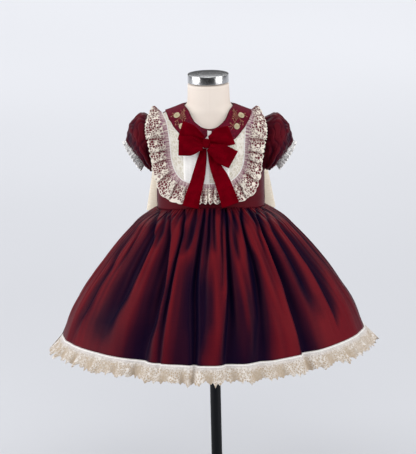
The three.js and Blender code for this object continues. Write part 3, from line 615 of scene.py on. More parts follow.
def metal(name, light, dark, metallic, roughness, grain, shine=0.5):
    """Polished steel, or satin black paint on steel, with faint wear in the gloss."""
    material, tree, shader = new_material(name)
    wear = noise(tree, coordinates(tree, "Object"), grain, 4.0)
    set_shader(
        tree, shader, Metallic=metallic, Specular_IOR_Level=shine,
        Base_Color=shades(tree, wear, (0.3, dark), (0.7, light)),
        Roughness=ranged(tree, wear, end=(roughness * 0.75, roughness * 1.25)),
    )
    return material


TAFFETA = shot_taffeta()
VELVET = velvet()
IVORY_SATIN = satin("satin_ivory", "#f4ead9", "#e6d6bd")
WHITE_SATIN = satin("satin_white", "#f6f4f1", "#e9e6e2")
JACQUARD = plum_jacquard()
RUFFLE_LACE = corded_lace("corded_lace_cream_on_mauve", "#efe6d8", "#8f5a72", "#641122", 4.7, 0.07, 0.12,
                          0.955)
BIB_LACE = corded_lace("corded_lace_ivory", "#ebe6dc", "#ddd6c8", "#d9d1bf", 4.2, 0.12, -0.2, 1.2)
HEM_LACE = corded_lace("tulle_lace_beige", "#dad3cc", "#c5bfbd", "#b6a48f", 4.6, 0.085, 0.1, 0.985)
CUFF_LACE = corded_lace("picot_lace_white", "#efedea", "#cfcccb", "#b0abac", 3.6, 0.12, -0.2, 0.86, 0.5)
ROSETTE = plain_cloth("cotton_ribbon_cream", "#ddd3b6", "#bfb28c", 0.8, 0.7)
GOLD_THREAD = plain_cloth("rayon_thread_gold", "#b8926c", "#98704c", 0.5, 0.6)
FORM_COVER = plain_cloth("jersey_cream", "#efe4da", "#e6d9cd", 0.85, 0.8)
CHROME = metal("brushed_steel", "#dcdcdc", "#b4b4b4", 1.0, 0.22, 260.0)
BLACK_PAINT = metal("satin_black_paint", "#070b12", "#04070c", 0.0, 0.45, 90.0, 0.2)


# The stand and the dress form
def make_form():
    inset = 1.2

    def surface(u, v):
        angle = 2 * math.pi * u
        z = through([0, 0.06, 0.12, 0.75, 1], [470, 474, 490, 762, 809.7])(v)
        body = body_point(angle, z)
        # The form stands back under the collar
        away = inset * (1 - smooth(764, 806, z)) + 1.6 * smooth(715, 740, z) * (1 - smooth(750, 766, z))
        away = away * smooth(471, 480, z)
        # A closed seam down each side and the centre front and back, where the cover is joined
        seam = np.exp(-0.5 * (np.minimum(np.mod(u * 4, 1), 1 - np.mod(u * 4, 1)) / 0.012) ** 2)
        body = body - unit(outwards(body)) * (away + 0.25 * seam)[..., None]
        closing = smooth(0.0, 0.03, v)[..., None]
        body[..., :2] *= closing
        top = 1 - smooth(0.985, 1.0, v)[..., None] * 0.5
        body[..., :2] *= top
        return body

    form = cloth("form_cover", 160, 150, surface, (600, 420), thickness=0, closed=True)
    weld(form, 2e-4)
    finish_piece(form, FORM_COVER, ["dress_form"])


def lathe(name, outline, steps=96):
    """A turned solid: an outline of radius and height, from the axis and back to it."""
    rows = np.array(outline, float)
    bpy.ops.object.select_all(action="DESELECT")
    bpy.ops.mesh.primitive_circle_add(vertices=steps, radius=max(rows[1][0], 0.1) * MM, fill_type="NGON",
                                      location=(0, 0, rows[0][1] * MM))
    piece = bpy.context.object
    piece.name = name
    bpy.ops.object.mode_set(mode="EDIT")
    bpy.ops.mesh.select_all(action="SELECT")
    for before, (radius, height) in zip(rows[1:-2], rows[2:-1]):
        bpy.ops.mesh.extrude_region_move(TRANSFORM_OT_translate={"value": (0, 0, (height - before[1]) * MM)})
        share = radius / before[0]
        bpy.ops.transform.resize(value=(share, share, 1), center_override=(0, 0, 0))
    bpy.ops.mesh.select_all(action="SELECT")
    bpy.ops.mesh.normals_make_consistent(inside=False)
    bpy.ops.object.mode_set(mode="OBJECT")
    bpy.ops.object.transform_apply(location=True, rotation=True, scale=True)
    return piece


def turned_size(node):
    """A turned solid's radius, bottom and top in millimetres."""
    low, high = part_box(node)
    return (high.x - low.x) / 2 / MM, low.z / MM, high.z / MM


def make_stand():
    radius, _, tall = turned_size("stand_base")
    base = lathe("base_plate", [(0, 0), (radius - 1.5, 0), (radius, 1.5), (radius, tall - 6),
                                (radius - 6, tall - 3), (24, tall), (0, tall)])
    bevel_edges(base, 0.8, 3)
    finish_piece(base, BLACK_PAINT, ["stand_base"])
    radius, bottom, top = turned_size("stand_pole")
    pole = lathe("pole_tube", [(0, bottom), (radius, bottom), (radius, top), (0, top)], 64)
    # The clamp collar that screws the pole to the base
    collar = lathe("pole_collar", [(0, bottom + 0.2), (radius + 7, bottom + 0.2), (radius + 7, bottom + 14),
                                   (radius + 4, bottom + 17), (0, bottom + 17)], 64)
    active_only(pole)
    collar.select_set(True)
    bpy.ops.object.join()
    bevel_edges(pole, 0.6, 2)
    finish_piece(pole, BLACK_PAINT, ["stand_pole"])
    radius, bottom, top = turned_size("neck_cap")
    cap = lathe("neck_cap_steel", [(0, bottom), (radius, bottom), (radius, top), (0, top)], 128)
    bevel_edges(cap, 0.9, 4)
    finish_piece(cap, CHROME, ["neck_cap"])


make_form()
make_stand()


# The skirt
# share of the drop, half width, depth to the front, depth to the back
SKIRT = [
    (0, 100.2, 75.7, 73.2), (0.045, 119, 89, 86), (0.11, 140, 104, 102), (0.17, 153, 114, 113),
    (0.25, 170, 127, 128), (0.41, 200, 149, 153), (0.6, 232, 174, 180), (0.8, 260, 197, 205),
    (1, 279, 213, 222),
]
SKIRT_T, SKIRT_HALF, SKIRT_FRONT, SKIRT_BACK = zip(*SKIRT)
skirt_half = through(SKIRT_T, SKIRT_HALF)
skirt_front = through(SKIRT_T, SKIRT_FRONT)
skirt_back = through(SKIRT_T, SKIRT_BACK)
HEM_Z, HEM_DIP_FRONT, HEM_DIP_BACK, HEM_TILT = 343, 17.5, 10, 3.5

# The folds that hang down the skirt's front, each by its valley: share of the drop, angle in
# degrees, how far the valley reaches to its left and to its right in degrees, depth in millimetres
FRONT_FOLDS = [
    [(0.08, -74, 2.2, 1.2, 1.5), (0.17, -71, 1.8, 2, 3), (0.3, -70.8, 1.8, 1.8, 4.5),
     (0.44, -66.5, 1.8, 1.5, 5), (0.56, -66.8, 2.2, 1.5, 5), (0.7, -66.5, 2.2, 2, 4.5),
     (0.83, -68.5, 3, 2.2, 3), (0.95, -70.2, 4, 2.8, 1.5)],
    [(0.07, -65.5, 1.8, 1.5, 1.5), (0.18, -61.8, 1.2, 1.2, 3.5), (0.29, -59.5, 1.2, 1.2, 3),
     (0.4, -59, 1.5, 1.2, 1), (0.45, -58.5, 1.2, 1.2, 0)],
    [(0, -70.5, 5.2, 3, 2), (0.04, -57.8, 3.5, 1, 4), (0.13, -47.8, 4.2, 1, 8),
     (0.24, -43, 6.8, 1.2, 11), (0.38, -43, 7.5, 1.2, 13), (0.49, -44, 7.5, 1.5, 13),
     (0.59, -44.8, 7, 1.8, 12), (0.7, -46.8, 6.5, 2.2, 9), (0.83, -48.8, 6.8, 3.2, 5),
     (0.95, -50, 6.5, 4.5, 2)],
    [(0, -54.2, 1.8, 2, 2), (0.06, -43.2, 1.8, 1.5, 3.5), (0.14, -39, 2.8, 1.8, 5),
     (0.21, -38, 3.2, 1.5, 2.5), (0.26, -37.2, 3, 2.2, 0)],
    [(0, -47.2, 1.8, 1.5, 2), (0.08, -35.8, 1, 1, 4), (0.18, -30.2, 2, 0.8, 8),
     (0.27, -27.5, 3.5, 0.5, 11), (0.4, -26, 4.8, 0.8, 14), (0.52, -25.2, 5.2, 1, 15),
     (0.61, -25.5, 5.5, 1, 16), (0.72, -25.8, 5.8, 1.2, 15), (0.83, -26.8, 6.2, 1.2, 13),
     (0.95, -27.8, 6.5, 1.8, 10)],
    [(0, -28.5, 1.2, 1.2, 3), (0.07, -23.2, 1.5, 0.8, 6), (0.16, -21.2, 1, 0.8, 7.5),
     (0.26, -21, 0.8, 0.5, 7.5), (0.35, -21, 1, 0.5, 7), (0.45, -21, 0.8, 0.5, 7),
     (0.55, -20.8, 1, 0.5, 7), (0.64, -21, 1, 0.5, 6.5), (0.77, -21, 1.2, 0.5, 5),
     (0.95, -21, 1.2, 0.5, 3.5)],
    [(0, -15, 1.2, 0.8, 3), (0.07, -13.2, 2.2, 0.8, 5), (0.16, -13.8, 3, 0.8, 6),
     (0.23, -15.2, 2.5, 1, 4.5), (0.27, -17.2, 2, 1.2, 2), (0.3, -19, 2, 1, 0)],
    [(0.27, -14, 2.5, 2.2, 0), (0.38, -13.8, 2.8, 2.8, 2.5), (0.57, -13, 2.8, 2.8, 3.5),
     (0.76, -12.8, 2.8, 3, 4), (0.93, -13, 3, 3.2, 4)],
    [(0, -6.5, 1, 1, 3), (0.05, -6.5, 1, 1.2, 6), (0.14, -7, 1.5, 1.2, 9), (0.26, -8, 1.8, 1.2, 11),
     (0.35, -8.5, 1.8, 1.2, 12), (0.48, -9, 1.8, 1.5, 14), (0.57, -8.8, 1.8, 1.8, 15),
     (0.7, -8, 1.8, 1.5, 15), (0.83, -7.8, 1.2, 1.5, 12), (0.97, -7.8, 1, 1.2, 9)],
    [(0.33, -3.8, 1.5, 1.8, 0), (0.44, -4, 2, 2, 4), (0.57, -4.2, 2, 2.2, 6), (0.7, -4.2, 1.8, 2.2, 5),
     (0.83, -4.5, 1.5, 1.5, 3), (0.94, -4.5, 1.5, 1.5, 1)],
    [(0, -1.2, 1, 1, 3), (0.07, -1.8, 1, 1, 6), (0.18, -2.2, 1.2, 1, 7), (0.27, -2.8, 1.2, 0.8, 5.5),
     (0.35, -3.2, 1.2, 0.8, 3), (0.42, -3.5, 1.2, 0.8, 0)],
    [(0, 3, 1.2, 1, 4), (0.06, 2.2, 1.2, 0.8, 5), (0.14, 1.5, 1.2, 1, 4), (0.23, 1.5, 1.2, 0.8, 3),
     (0.28, 1.5, 1, 1, 0)],
    [(0, 11.5, 1.2, 0.8, 4), (0.07, 8.5, 0.8, 1, 5), (0.18, 6.8, 0.8, 0.8, 4), (0.32, 5.8, 0.8, 0.5, 3),
     (0.45, 4.8, 0.5, 0.5, 2), (0.52, 4.2, 0.5, 0.5, 0)],
    [(0, 15, 1, 1, 4), (0.09, 12.2, 0.8, 1, 7), (0.18, 10.5, 0.8, 1, 9), (0.27, 9.5, 0.8, 1.2, 11),
     (0.37, 8.5, 0.5, 1.8, 13), (0.48, 7.8, 0.5, 2.2, 15), (0.59, 7, 0.8, 3, 16),
     (0.7, 6.2, 1, 3.8, 16), (0.83, 5.2, 1.2, 4.2, 14), (0.96, 4.5, 1.5, 4.5, 11)],
    [(0.01, 22, 1.2, 1.2, 2), (0.1, 17.5, 1.5, 1.5, 4), (0.2, 16, 1.5, 1, 4.5), (0.28, 15.2, 1.2, 1, 3),
     (0.34, 15, 1.2, 0.8, 0)],
    [(0.01, 31.8, 1, 1, 4), (0.07, 25.5, 1, 0.8, 6), (0.15, 23.5, 0.8, 1, 8), (0.24, 23, 1, 1.2, 10),
     (0.33, 23.2, 2, 1.8, 12), (0.45, 22.8, 2.8, 1.5, 14), (0.58, 21.5, 3, 1.8, 14),
     (0.71, 20, 2.5, 2.2, 13), (0.85, 18.5, 2.8, 2.5, 11), (0.98, 17, 3, 2.8, 8)],
    [(0, 55.2, 1.5, 2, 3), (0.07, 42.2, 0.8, 1.5, 6), (0.16, 38.8, 0.8, 1.8, 10),
     (0.24, 37.2, 0.5, 2.5, 13), (0.33, 36.5, 0.5, 3, 15), (0.42, 36.2, 0.5, 3.2, 16),
     (0.52, 35.8, 0.5, 3.5, 16), (0.61, 35.2, 0.5, 3.8, 16), (0.71, 35, 0.5, 4, 15),
     (0.83, 35, 0.5, 4.2, 13), (0.98, 35.5, 0.8, 4.5, 10)],
    [(0, 41, 2, 1.8, 4), (0.05, 38.8, 1.8, 1.2, 5), (0.12, 35.8, 1, 1, 4), (0.2, 33.5, 0.8, 0.8, 3),
     (0.32, 32.2, 0.8, 0.8, 2.5), (0.47, 32, 0.8, 0.8, 1.5), (0.59, 32.2, 0.8, 0.8, 0)],
    [(0.01, 64.5, 2.2, 1.2, 2.5), (0.1, 51.2, 1.2, 1.8, 5), (0.19, 49.2, 1.8, 1.8, 6.5),
     (0.28, 49, 2.2, 1.8, 7.5), (0.38, 48.5, 2.2, 1.8, 7.5), (0.48, 48, 2, 1.8, 7),
     (0.58, 47.5, 2, 1.8, 5.5), (0.69, 48, 2.2, 2.2, 3), (0.82, 49.2, 2.2, 2.2, 0)],
    [(0.05, 66.5, 1.2, 2.5, 2.5), (0.16, 60, 1.2, 4.2, 5), (0.25, 59.8, 1.2, 5.5, 7.5),
     (0.35, 59.5, 1.2, 6.5, 9), (0.44, 59.5, 1, 6, 9), (0.55, 59, 1, 4, 8.5), (0.65, 58.2, 1, 2.8, 7.5),
     (0.75, 57.5, 0.8, 2.2, 5.5), (0.83, 57, 0.5, 1.5, 3), (0.9, 56.8, 0.8, 0.8, 0)],
]

# The valleys round the sides and the back, more regular: angle at the waist and at the hem,
# depth at the hem, half width at the hem
VALLEYS = [
    (-86, -82, 2.4, 3.5), (82, 75, 2.2, 4), (92, 88, 5, 5), (106, 102, 12, 6), (119, 117, 13, 6.5),
    (135, 133, 12, 5.5), (147, 146, 14, 6), (161, 161, 11, 5), (176, 176, 14, 6.5), (191, 192, 13, 6),
    (206, 206, 10, 5), (221, 221, 14, 6.5), (236, 237, 12, 6), (250, 252, 13, 6), (262, 264, 5, 4.5),
]


def hem_z(a):
    """The hem is lower at the centre front and back, and a little higher at the right side."""
    s, c = np.sin(a), np.cos(a)
    return HEM_Z + HEM_TILT * s ** 3 - np.where(c > 0, HEM_DIP_FRONT * c ** 3, HEM_DIP_BACK * c * c)


def wrapped(angle):
    return np.mod(angle + 180, 360) - 180


def front_folds(angle, t, full_depth=None):
    """The front's folds: steep on one side and soft on the other, as cloth falls over itself.

    With full_depth, each fold counts instead by how dark its painted shade is, up to 1, a little beyond its walls.
    """
    total = np.zeros_like(angle)
    for stations in FRONT_FOLDS:
        share, centre, left, right, deep = (np.array(column, float) for column in zip(*stations))
        near = np.clip(t, share[0], share[-1])
        away = wrapped(angle - through(share, centre)(near))
        wide = 0.78 * np.where(away < 0, through(share, left)(near), through(share, right)(near))
        d = through(share, deep)(near)
        if full_depth:
            d = np.minimum(1, d / full_depth)
            wide = 1.5 * wide + 0.1
        total = total + d * np.exp(-0.5 * (away / wide) ** 2)
    return total


def side_folds(angle, t):
    total = np.zeros_like(angle)
    for waist, hem, deep, wide in VALLEYS:
        away = wrapped(angle - lerp(waist, hem, np.sqrt(t))) / (wide * lerp(0.55, 1, t))
        total = total + deep * np.exp(-0.5 * away * away)
    return total * smooth(0.03, 0.75, t)


SMALL_FOLDS = 84


def small_folds(angle, t):
    """Gathers that leave the waist seam and die out at different lengths, shorter in front."""
    rng = np.random.default_rng(21)
    spread = (np.arange(SMALL_FOLDS) + 0.5 + rng.uniform(-0.3, 0.3, SMALL_FOLDS)) * 360 / SMALL_FOLDS
    deep = rng.uniform(1.4, 3.6, SMALL_FOLDS)
    reach = rng.uniform(0.18, 0.75, SMALL_FOLDS)
    drift = rng.uniform(-2.5, 2.5, SMALL_FOLDS)
    total = np.zeros_like(angle)
    for centre, d, end, side in zip(spread, deep, reach, drift):
        if abs(wrapped(centre)) < 75:
            d, end = 0.6 * d, 0.3 * end
        away = wrapped(angle - centre - side * t) / lerp(1.0, 3.4, t)
        fade = smooth(0.0, 0.05, t) * (1 - smooth(0.25 * end, end, t)) + 0.4 * (1 - smooth(0, 0.06, t))
        total = total + d * fade * np.exp(-0.5 * away * away)
    return total


def creases(angle, t):
    """Fine lines that run down from the waist along the folds."""
    return wander(angle / 10, 0.35 * t, 23, 12) * smooth(0.02, 0.15, t) * (1 - 0.7 * smooth(0.4, 1, t))


def seam_puckers(angle, t):
    return 0.7 * np.sin(np.radians(angle) * 118) * (1 - smooth(0.0, 0.07, t))


def skirt_point(angle, t):
    """A point of the skirt: angle from the centre front in degrees, t from the waist to the hem."""
    a = np.radians(angle)
    s, c = np.sin(a), np.cos(a)
    half = skirt_half(t)
    depth = np.where(c > 0, skirt_front(t), skirt_back(t))
    z = lerp(waist_z(a) - 1.3, hem_z(a), t)
    out = unit(points(s / half, -c / depth, 0))
    move = 4.5 * smooth(0.03, 0.75, t) - front_folds(angle, t) - side_folds(angle, t)
    move = move - small_folds(angle, t) + seam_puckers(angle, t)
    # The cloth is limp between its folds
    move = move + 1.1 * wander(angle / 60, t, 5) * smooth(0.1, 0.6, t) + 0.7 * creases(angle, t)
    return points(half * s, -depth * c, z) + out * move[..., None]


def skirt_painted_shade(angle, t):
    """Painted shade for the taffeta's colour: how deep in a fold a point lies."""
    front = front_folds(angle, t, 6.5)
    # Painted shade: a broad darker band down the middle of the front
    middle = 0.14 * np.exp(-0.5 * (wrapped(angle - 4) / 26) ** 2) * smooth(0.1, 0.5, t)
    total = front + middle + side_folds(angle, t) / 11 + small_folds(angle, t) / 3.4
    return np.clip(total - 0.05 - 0.16 * creases(angle, t), 0, 1)


def skirt_share(v):
    return lerp(v * v, v, 0.45)


# The cloth cut for each degree round the waist, and the weave's width round a radian of the hem
WEAVE_PER_RADIAN = 281.75
SEAM_TRIM = 0.05


def make_skirt(name, start, end, columns, rows, node):
    start, end = start + SEAM_TRIM, end - SEAM_TRIM

    def place(u, v):
        return lerp(start, end, u), skirt_share(1 - v)

    skirt = cloth(name, columns, rows, lambda u, v: skirt_point(*place(u, v)),
                  (math.radians(end - start) * WEAVE_PER_RADIAN, 262),
                  marks={"hollow": lambda u, v: skirt_painted_shade(*place(u, v))})
    finish_piece(skirt, TAFFETA, [node])


make_skirt("skirt_front_cloth", -90, 90, 600, 76, "skirt_front")
make_skirt("skirt_back_right_cloth", 90, 180, 180, 90, "skirt_back_right")
make_skirt("skirt_back_left_cloth", 180, 270, 180, 90, "skirt_back_left")


# The bodice
# How much of the hollows' dark colour the taffeta shows where it lies flat
FLAT_SHADE = 0.16
front_half, back_half = half_panel(True), half_panel(False)


def towards_top(v):
    return 1 - (1 - v) ** 1.5


def bodice_puckers(p):
    return 0.25 * wander(p[..., 0] / 60, p[..., 2] / 45, 8) * smooth(585, 600, p[..., 2])


def make_bodice():
    def front(u, v):
        s = 2 * u - 1
        flat = front_half(np.abs(s), towards_top(v))
        p = layered(flat, "bodice", bodice_puckers(flat))
        p[..., 0] *= np.where(s < 0, -1, 1)
        p[..., 1] -= 0.3
        return p

    piece = cloth("bodice_front_cloth", 120, 90, front, (310, 190), 0.6, marks={"hollow": lambda u, v: FLAT_SHADE})
    finish_piece(piece, TAFFETA, ["bodice_front"])
    for side, name in SIDES:
        def back(u, v, side=side):
            flat = back_half(u, towards_top(v))
            p = layered(flat, "bodice", bodice_puckers(flat))
            p[..., 0] = side * (p[..., 0] + 0.25)
            p[..., 1] += 0.3
            return p

        piece = cloth(f"bodice_back_{name}_cloth", 60, 90, back, (155, 190), 0.6, turn_over=side > 0,
                      marks={"hollow": lambda u, v: FLAT_SHADE})
        finish_piece(piece, TAFFETA, [f"bodice_back_{name}"])


make_bodice()


# The sleeves
# share from armhole to cuff, centre x and z, tilt of the top in degrees, half height, half depth
SLEEVE = [
    (0.3, 112, 699, 10, 54, 42), (0.6, 125.5, 689.5, 23, 49.6, 46), (0.84, 133.7, 681.5, 28.5, 39.3, 40),
    (1.0, 137.3, 678.5, 39, 28, 26),
]


def sleeve_ring(turn, row, grow=0.0):
    _, x, z, tilt, high, deep = row
    tilt = math.radians(tilt)
    high = (high + grow) * np.cos(turn)
    return points(x + high * math.sin(tilt), -(deep + grow) * np.sin(turn), z + high * math.cos(tilt))


def sleeve_point(turn, t):
    start = armhole(turn)
    start = start + points(1.6, -1.2 * np.sin(turn), 1.2 * np.cos(turn))
    stations = [start] + [sleeve_ring(turn, row) for row in SLEEVE]
    times = np.array([0.0] + [row[0] for row in SLEEVE])
    # A smooth blend through the rings, with slopes that don't overshoot
    values = np.stack(stations, axis=0)
    steps = np.diff(values, axis=0) / np.diff(times)[:, None, None]
    slopes = np.zeros_like(values)
    slopes[0], slopes[-1] = steps[0], steps[-1]
    before, after = steps[:-1], steps[1:]
    both = before * after > 0
    slopes[1:-1] = np.where(both, 2 * before * after / np.where(both, before + after, 1), 0)
    i = np.clip(np.searchsorted(times, t, side="right") - 1, 0, len(times) - 2)
    h = (times[i + 1] - times[i])[:, None]
    k = ((t - times[i]) / (times[i + 1] - times[i]))[:, None]
    n = np.arange(len(t))
    rise = values[i, n] * (1 + 2 * k) * (1 - k) ** 2 + values[i + 1, n] * k * k * (3 - 2 * k)
    return rise + h * (slopes[i, n] * k * (1 - k) ** 2 - slopes[i + 1, n] * k * k * (1 - k))


def sleeve_folds(u, t):
    """Gathers from the cap of the armhole and from the elastic cuff, and creases across the puff."""
    round_arm = 0.35 + 0.65 * np.cos(math.pi * u) ** 2
    cap = 2.6 * ripple(u, 30, 3) * smooth(0.02, 0.14, t) * (1 - smooth(0.12, 0.5, t)) * round_arm
    cuff = 2.4 * ripple(u, 34, 4) * smooth(0.5, 0.95, t)
    long_cuff = 1.8 * ripple(u + 0.01, 13, 6) * smooth(0.3, 0.75, t) * (1 - smooth(0.9, 1, t))
    soft = 1.4 * wander(u * 2, t * 1.4, 9) * smooth(0.1, 0.35, t) * (1 - smooth(0.75, 0.95, t))
    round_u = np.minimum(u, 1 - u)
    crisp = 0.4 - 1.2 * (1 - np.minimum(1, 2.8 * np.abs(wander(round_u * 4.4, t * 1.5, 16, 7, 0.5, 3.0))))
    return cap + cuff + long_cuff + soft + crisp * smooth(0.08, 0.3, t) * (1 - smooth(0.7, 0.92, t))


def make_sleeve(side, name):
    def surface(u, v):
        turn = -2 * math.pi * u
        centre = sleeve_point(turn, v)
        h = 1e-3
        along = sleeve_point(turn + h, v) - sleeve_point(turn - h, v)
        out = sleeve_point(turn, np.minimum(v + h, 1)) - sleeve_point(turn, np.maximum(v - h, 0))
        normal = unit(np.cross(along, out))
        p = centre + normal * sleeve_folds(np.mod(u, 1), v)[..., None]
        p[..., 0] *= side
        return p

    # Painted shade in the sleeve's creases, on top of the even FLAT_SHADE tone
    def hollow(u, v):
        return np.clip(-sleeve_folds(np.mod(u, 1), v) / 3.0 - 0.08, 0, 1) * 0.42 + FLAT_SHADE

    piece = cloth(f"sleeve_{name}_cloth", 240, 90, surface, (300, 110), 0.5, closed=True, turn_over=side > 0,
                  marks={"hollow": hollow})
    finish_piece(piece, TAFFETA, [f"sleeve_{name}"])


for sleeve_side, sleeve_name in SIDES:
    make_sleeve(sleeve_side, sleeve_name)


# The bib, its satin strips and its piping
BIB_SHOULDER_X = 80
BIB_SHIFT = -6
# x and height of the bib's outline on the right half, from the centre to the shoulder
BIB = [
    (0, 634.5), (26, 635), (42, 638.5), (51, 645), (58, 654), (63, 666), (65.6, 680), (67, 700),
    (69.3, 722), (73, 742), (76, 748.5), (BIB_SHOULDER_X, float(ridge(BIB_SHOULDER_X)[2])),
]


def front_point(x, z):
    share = np.minimum(1, np.abs(x) / body_half(z))
    return points(x, -body_front(z) * np.sqrt(1 - share * share), z)


bib_edge = OutlineCurve([front_point(x, z) for x, z in BIB])
BIB_CORNER = 0.3


def shifted(p, side):
    """The bib is sewn on a little left of the middle, but follows the neckline."""
    q = np.array(p, float)
    at_neck = smooth(700, 735, p[..., 2]) * (1 - smooth(45, 60, p[..., 0]))
    q[..., 0] = side * p[..., 0] + BIB_SHIFT * (1 - at_neck)
    return q


def bib_half():
    neck_share = 0.6

    def bottom(s):
        return bib_edge.at(s * BIB_CORNER)

    def top(s):
        x = lerp(NECK_SIDE_X, BIB_SHOULDER_X, np.clip((s - neck_share) / (1 - neck_share), 0, 1))
        return pick(s <= neck_share, neckline(np.minimum(s, neck_share) / neck_share * math.pi / 2), ridge(x))

    def centre(t):
        return body_point(np.zeros_like(t), lerp(BIB[0][1], NECK_Z[0], t))

    def side(t):
        return bib_edge.at(lerp(BIB_CORNER, 1, t))

    return patch(bottom, top, centre, side)


bib_patch = bib_half()


def bib_surface(u, v):
    s = 2 * u - 1
    flat = bib_patch(np.abs(s) * 0.985, lerp(0.004, 0.95, towards_top(v)))
    return layered(shifted(flat, np.where(s < 0, -1, 1)), "bib")


# Satin strips down the bib, a narrow one and two tucked ones: name, left and right edge, tucks
BIB_STRIPS = [("left", -42, -13.5, 2), ("centre", -12.5, 4.5, 0), ("right", 15.5, 40, 2)]


def make_bib():
    bib = cloth("bib_lace_panel", 150, 100, bib_surface, (134, 128), 0.6, marks={"across": lambda u, v: 0.5})
    finish_piece(bib, BIB_LACE, ["bib"])
    for name, left, right, tucks in BIB_STRIPS:
        def strip(u, v, left=left, right=right, tucks=tucks):
            x = lerp(left, right, u)
            low = lerp(635.6, 638.6, smooth(26, 44, np.abs(x)))
            round_neck = np.degrees(np.arcsin(np.minimum(np.abs(x + BIB_SHIFT) / 97, 1)))
            high = np.minimum(neck_z(round_neck) - 4, 752)
            z = lerp(low, high, v)
            flat = front_point(x + BIB_SHIFT * (1 - smooth(700, 735, z)), z)
            edge = np.minimum(u, 1 - u)
            tucked = 0.2 * np.abs(np.sin(math.pi * (tucks + 1) * u)) ** 0.6 * (tucks > 0)
            return layered(flat, "bib_strip", 0.55 * smooth(0, 0.12, edge) + tucked - 0.35)

        width = right - left
        piece = cloth(f"bib_satin_{name}", 48, 60, strip, (width, 100), 0.5)
        finish_piece(piece, WHITE_SATIN)


def tube(name, path, radius, sides, rows, material):
    """A round cord along a path that is given from 0 to 1."""
    def surface(u, v):
        h = 1e-3
        centre = path(v)
        along = unit(path(np.minimum(v + h, 1)) - path(np.maximum(v - h, 0)))
        side = unit(np.cross(along, np.array([0.13, 1.0, 0.21])))
        up = np.cross(side, along)
        turn = 2 * math.pi * u
        r = radius(v) if callable(radius) else radius
        r = np.broadcast_to(r, u.shape)
        return centre + side * (r * np.cos(turn))[..., None] + up * (r * np.sin(turn))[..., None]

    piece = cloth(name, sides, rows, surface, (6, 100), 0, closed=True)
    edit_all(piece, bpy.ops.mesh.normals_make_consistent, inside=False)
    return finish_piece(piece, material)


def make_piping():
    def path(v):
        s = 2 * v - 1
        q = np.minimum(np.abs(s), 0.998)
        edge = bib_edge.at(q)
        return layered(shifted(edge, np.where(s < 0, -1, 1)), "piping")

    tube("bib_piping", path, 1.15, 8, 260, WHITE_SATIN)


make_bib()
make_piping()


# The ruffle round the bib
# share of the bib's outline, and the free edge's x and height
RUFFLE = [
    (0, 0, 600), (0.1, 21, 599.8), (0.2, 50, 599.6), (0.25, 72, 606), (0.3, 86.5, 619), (0.35, 94, 637),
    (0.4, 98, 653), (0.5, 102, 680), (0.6, 105, 700), (0.7, 109, 716.5), (0.8, 110.4, 731.5),
    (0.85, 110, 738), (0.9, 107.5, 747), (0.95, 102, 758), (1, 96, 769),
]
RUFFLE_Q, RUFFLE_X, RUFFLE_Z = zip(*RUFFLE)
ruffle_x = through(RUFFLE_Q, RUFFLE_X)
ruffle_z = through(RUFFLE_Q, RUFFLE_Z)
# Seam length and height of each flounce, from the shoulder to the centre
FLOUNCES = [(58, 6), (22, 5.5), (14, 5), (20, 6), (17, 6), (13, 6), (12, 5.5), (11, 5), (11, 5)]
FLOUNCE_LONG, FLOUNCE_HIGH = (np.array(column) for column in zip(*FLOUNCES))
FLOUNCE_ENDS = np.concatenate([[0], np.cumsum(FLOUNCE_LONG)])


def flounce_at(q):
    """Each point's flounce and its place in it, from 0 to 1."""
    away = (1 - q) * FLOUNCE_ENDS[-1]
    i = np.clip(np.searchsorted(FLOUNCE_ENDS, away, side="right") - 1, 0, len(FLOUNCES) - 1)
    return i, (away - FLOUNCE_ENDS[i]) / FLOUNCE_LONG[i]


def ruffle_surface(u, v):
    s = 2 * u - 1
    side = np.where(s < 0, -1.0, 1.0)
    q = np.abs(s)
    i, phase = flounce_at(q)
    long, high = FLOUNCE_LONG[i], FLOUNCE_HIGH[i]
    grow = smooth(0.05, 0.8, v)
    # Each flounce falls over the start of the next one
    over = np.minimum(0.3 * long, 4.6) * smooth(0.35, 0.88, phase) * (1 - smooth(0.9, 1, phase))
    over = over * grow * smooth(0, 0.05, q)
    moved = np.clip(q - over / FLOUNCE_ENDS[-1], 0, 1)
    seat = layered(shifted(bib_edge.at(q), side), "ruffle")
    stands = lerp(3, 10, smooth(0.6, 0.85, q)) - 7 * smooth(0.88, 1, q)
    free = points(side * ruffle_x(moved) + BIB_SHIFT, seat[..., 1] - stands, ruffle_z(moved))
    out = free - seat
    reach = np.linalg.norm(out, axis=-1)
    valley = np.exp(-0.5 * (np.minimum(phase, 1 - phase) * long / 2.2) ** 2)
    scallop = 2.7 * np.abs(np.sin(math.pi * (1 - q) * FLOUNCE_ENDS[-1] * 1.45 / 8.0)) ** 0.7 - 1.1
    length = reach - 3.4 * valley * grow + scallop * smooth(0.85, 1, v)
    p = seat + unit(out) * (0.4 + length * v)[..., None]
    crest = smooth(0, 0.7, phase) * (1 - smooth(0.84, 1, phase))
    wave = 1.35 * high * lerp(crest, np.sin(math.pi * phase), 0.25) * grow
    gathers = np.sin(math.pi * (1 - q) * FLOUNCE_ENDS[-1] / 2.9 + 1.3 * np.sin(q * 41))
    small = 0.6 * gathers * smooth(0, 0.08, v) * (1 - 0.75 * v)
    p[..., 1] -= 1.9 * smooth(0, 0.4, v) + wave + small
    return p


def ruffle_painted_shade(u, v):
    """Painted shade in the gaps between two flounces."""
    i, phase = flounce_at(np.abs(2 * u - 1))
    near = np.exp(-0.5 * (phase * FLOUNCE_LONG[i] / 2.6) ** 2)
    return 0.7 * near * smooth(0.02, 0.3, v) * (1 - smooth(0.85, 1, v))


def ruffle_doubled_and_highlit(u, v):
    """The lower fold of each flounce, where the lace lies double and is lighter, partly as a painted highlight
    along the fold.
    """
    i, phase = flounce_at(np.abs(2 * u - 1))
    share = np.minimum(0.4, 17 / FLOUNCE_LONG[i])
    return smooth(1 - share, 1 - 0.75 * share, phase) * smooth(0.1, 0.4, v)


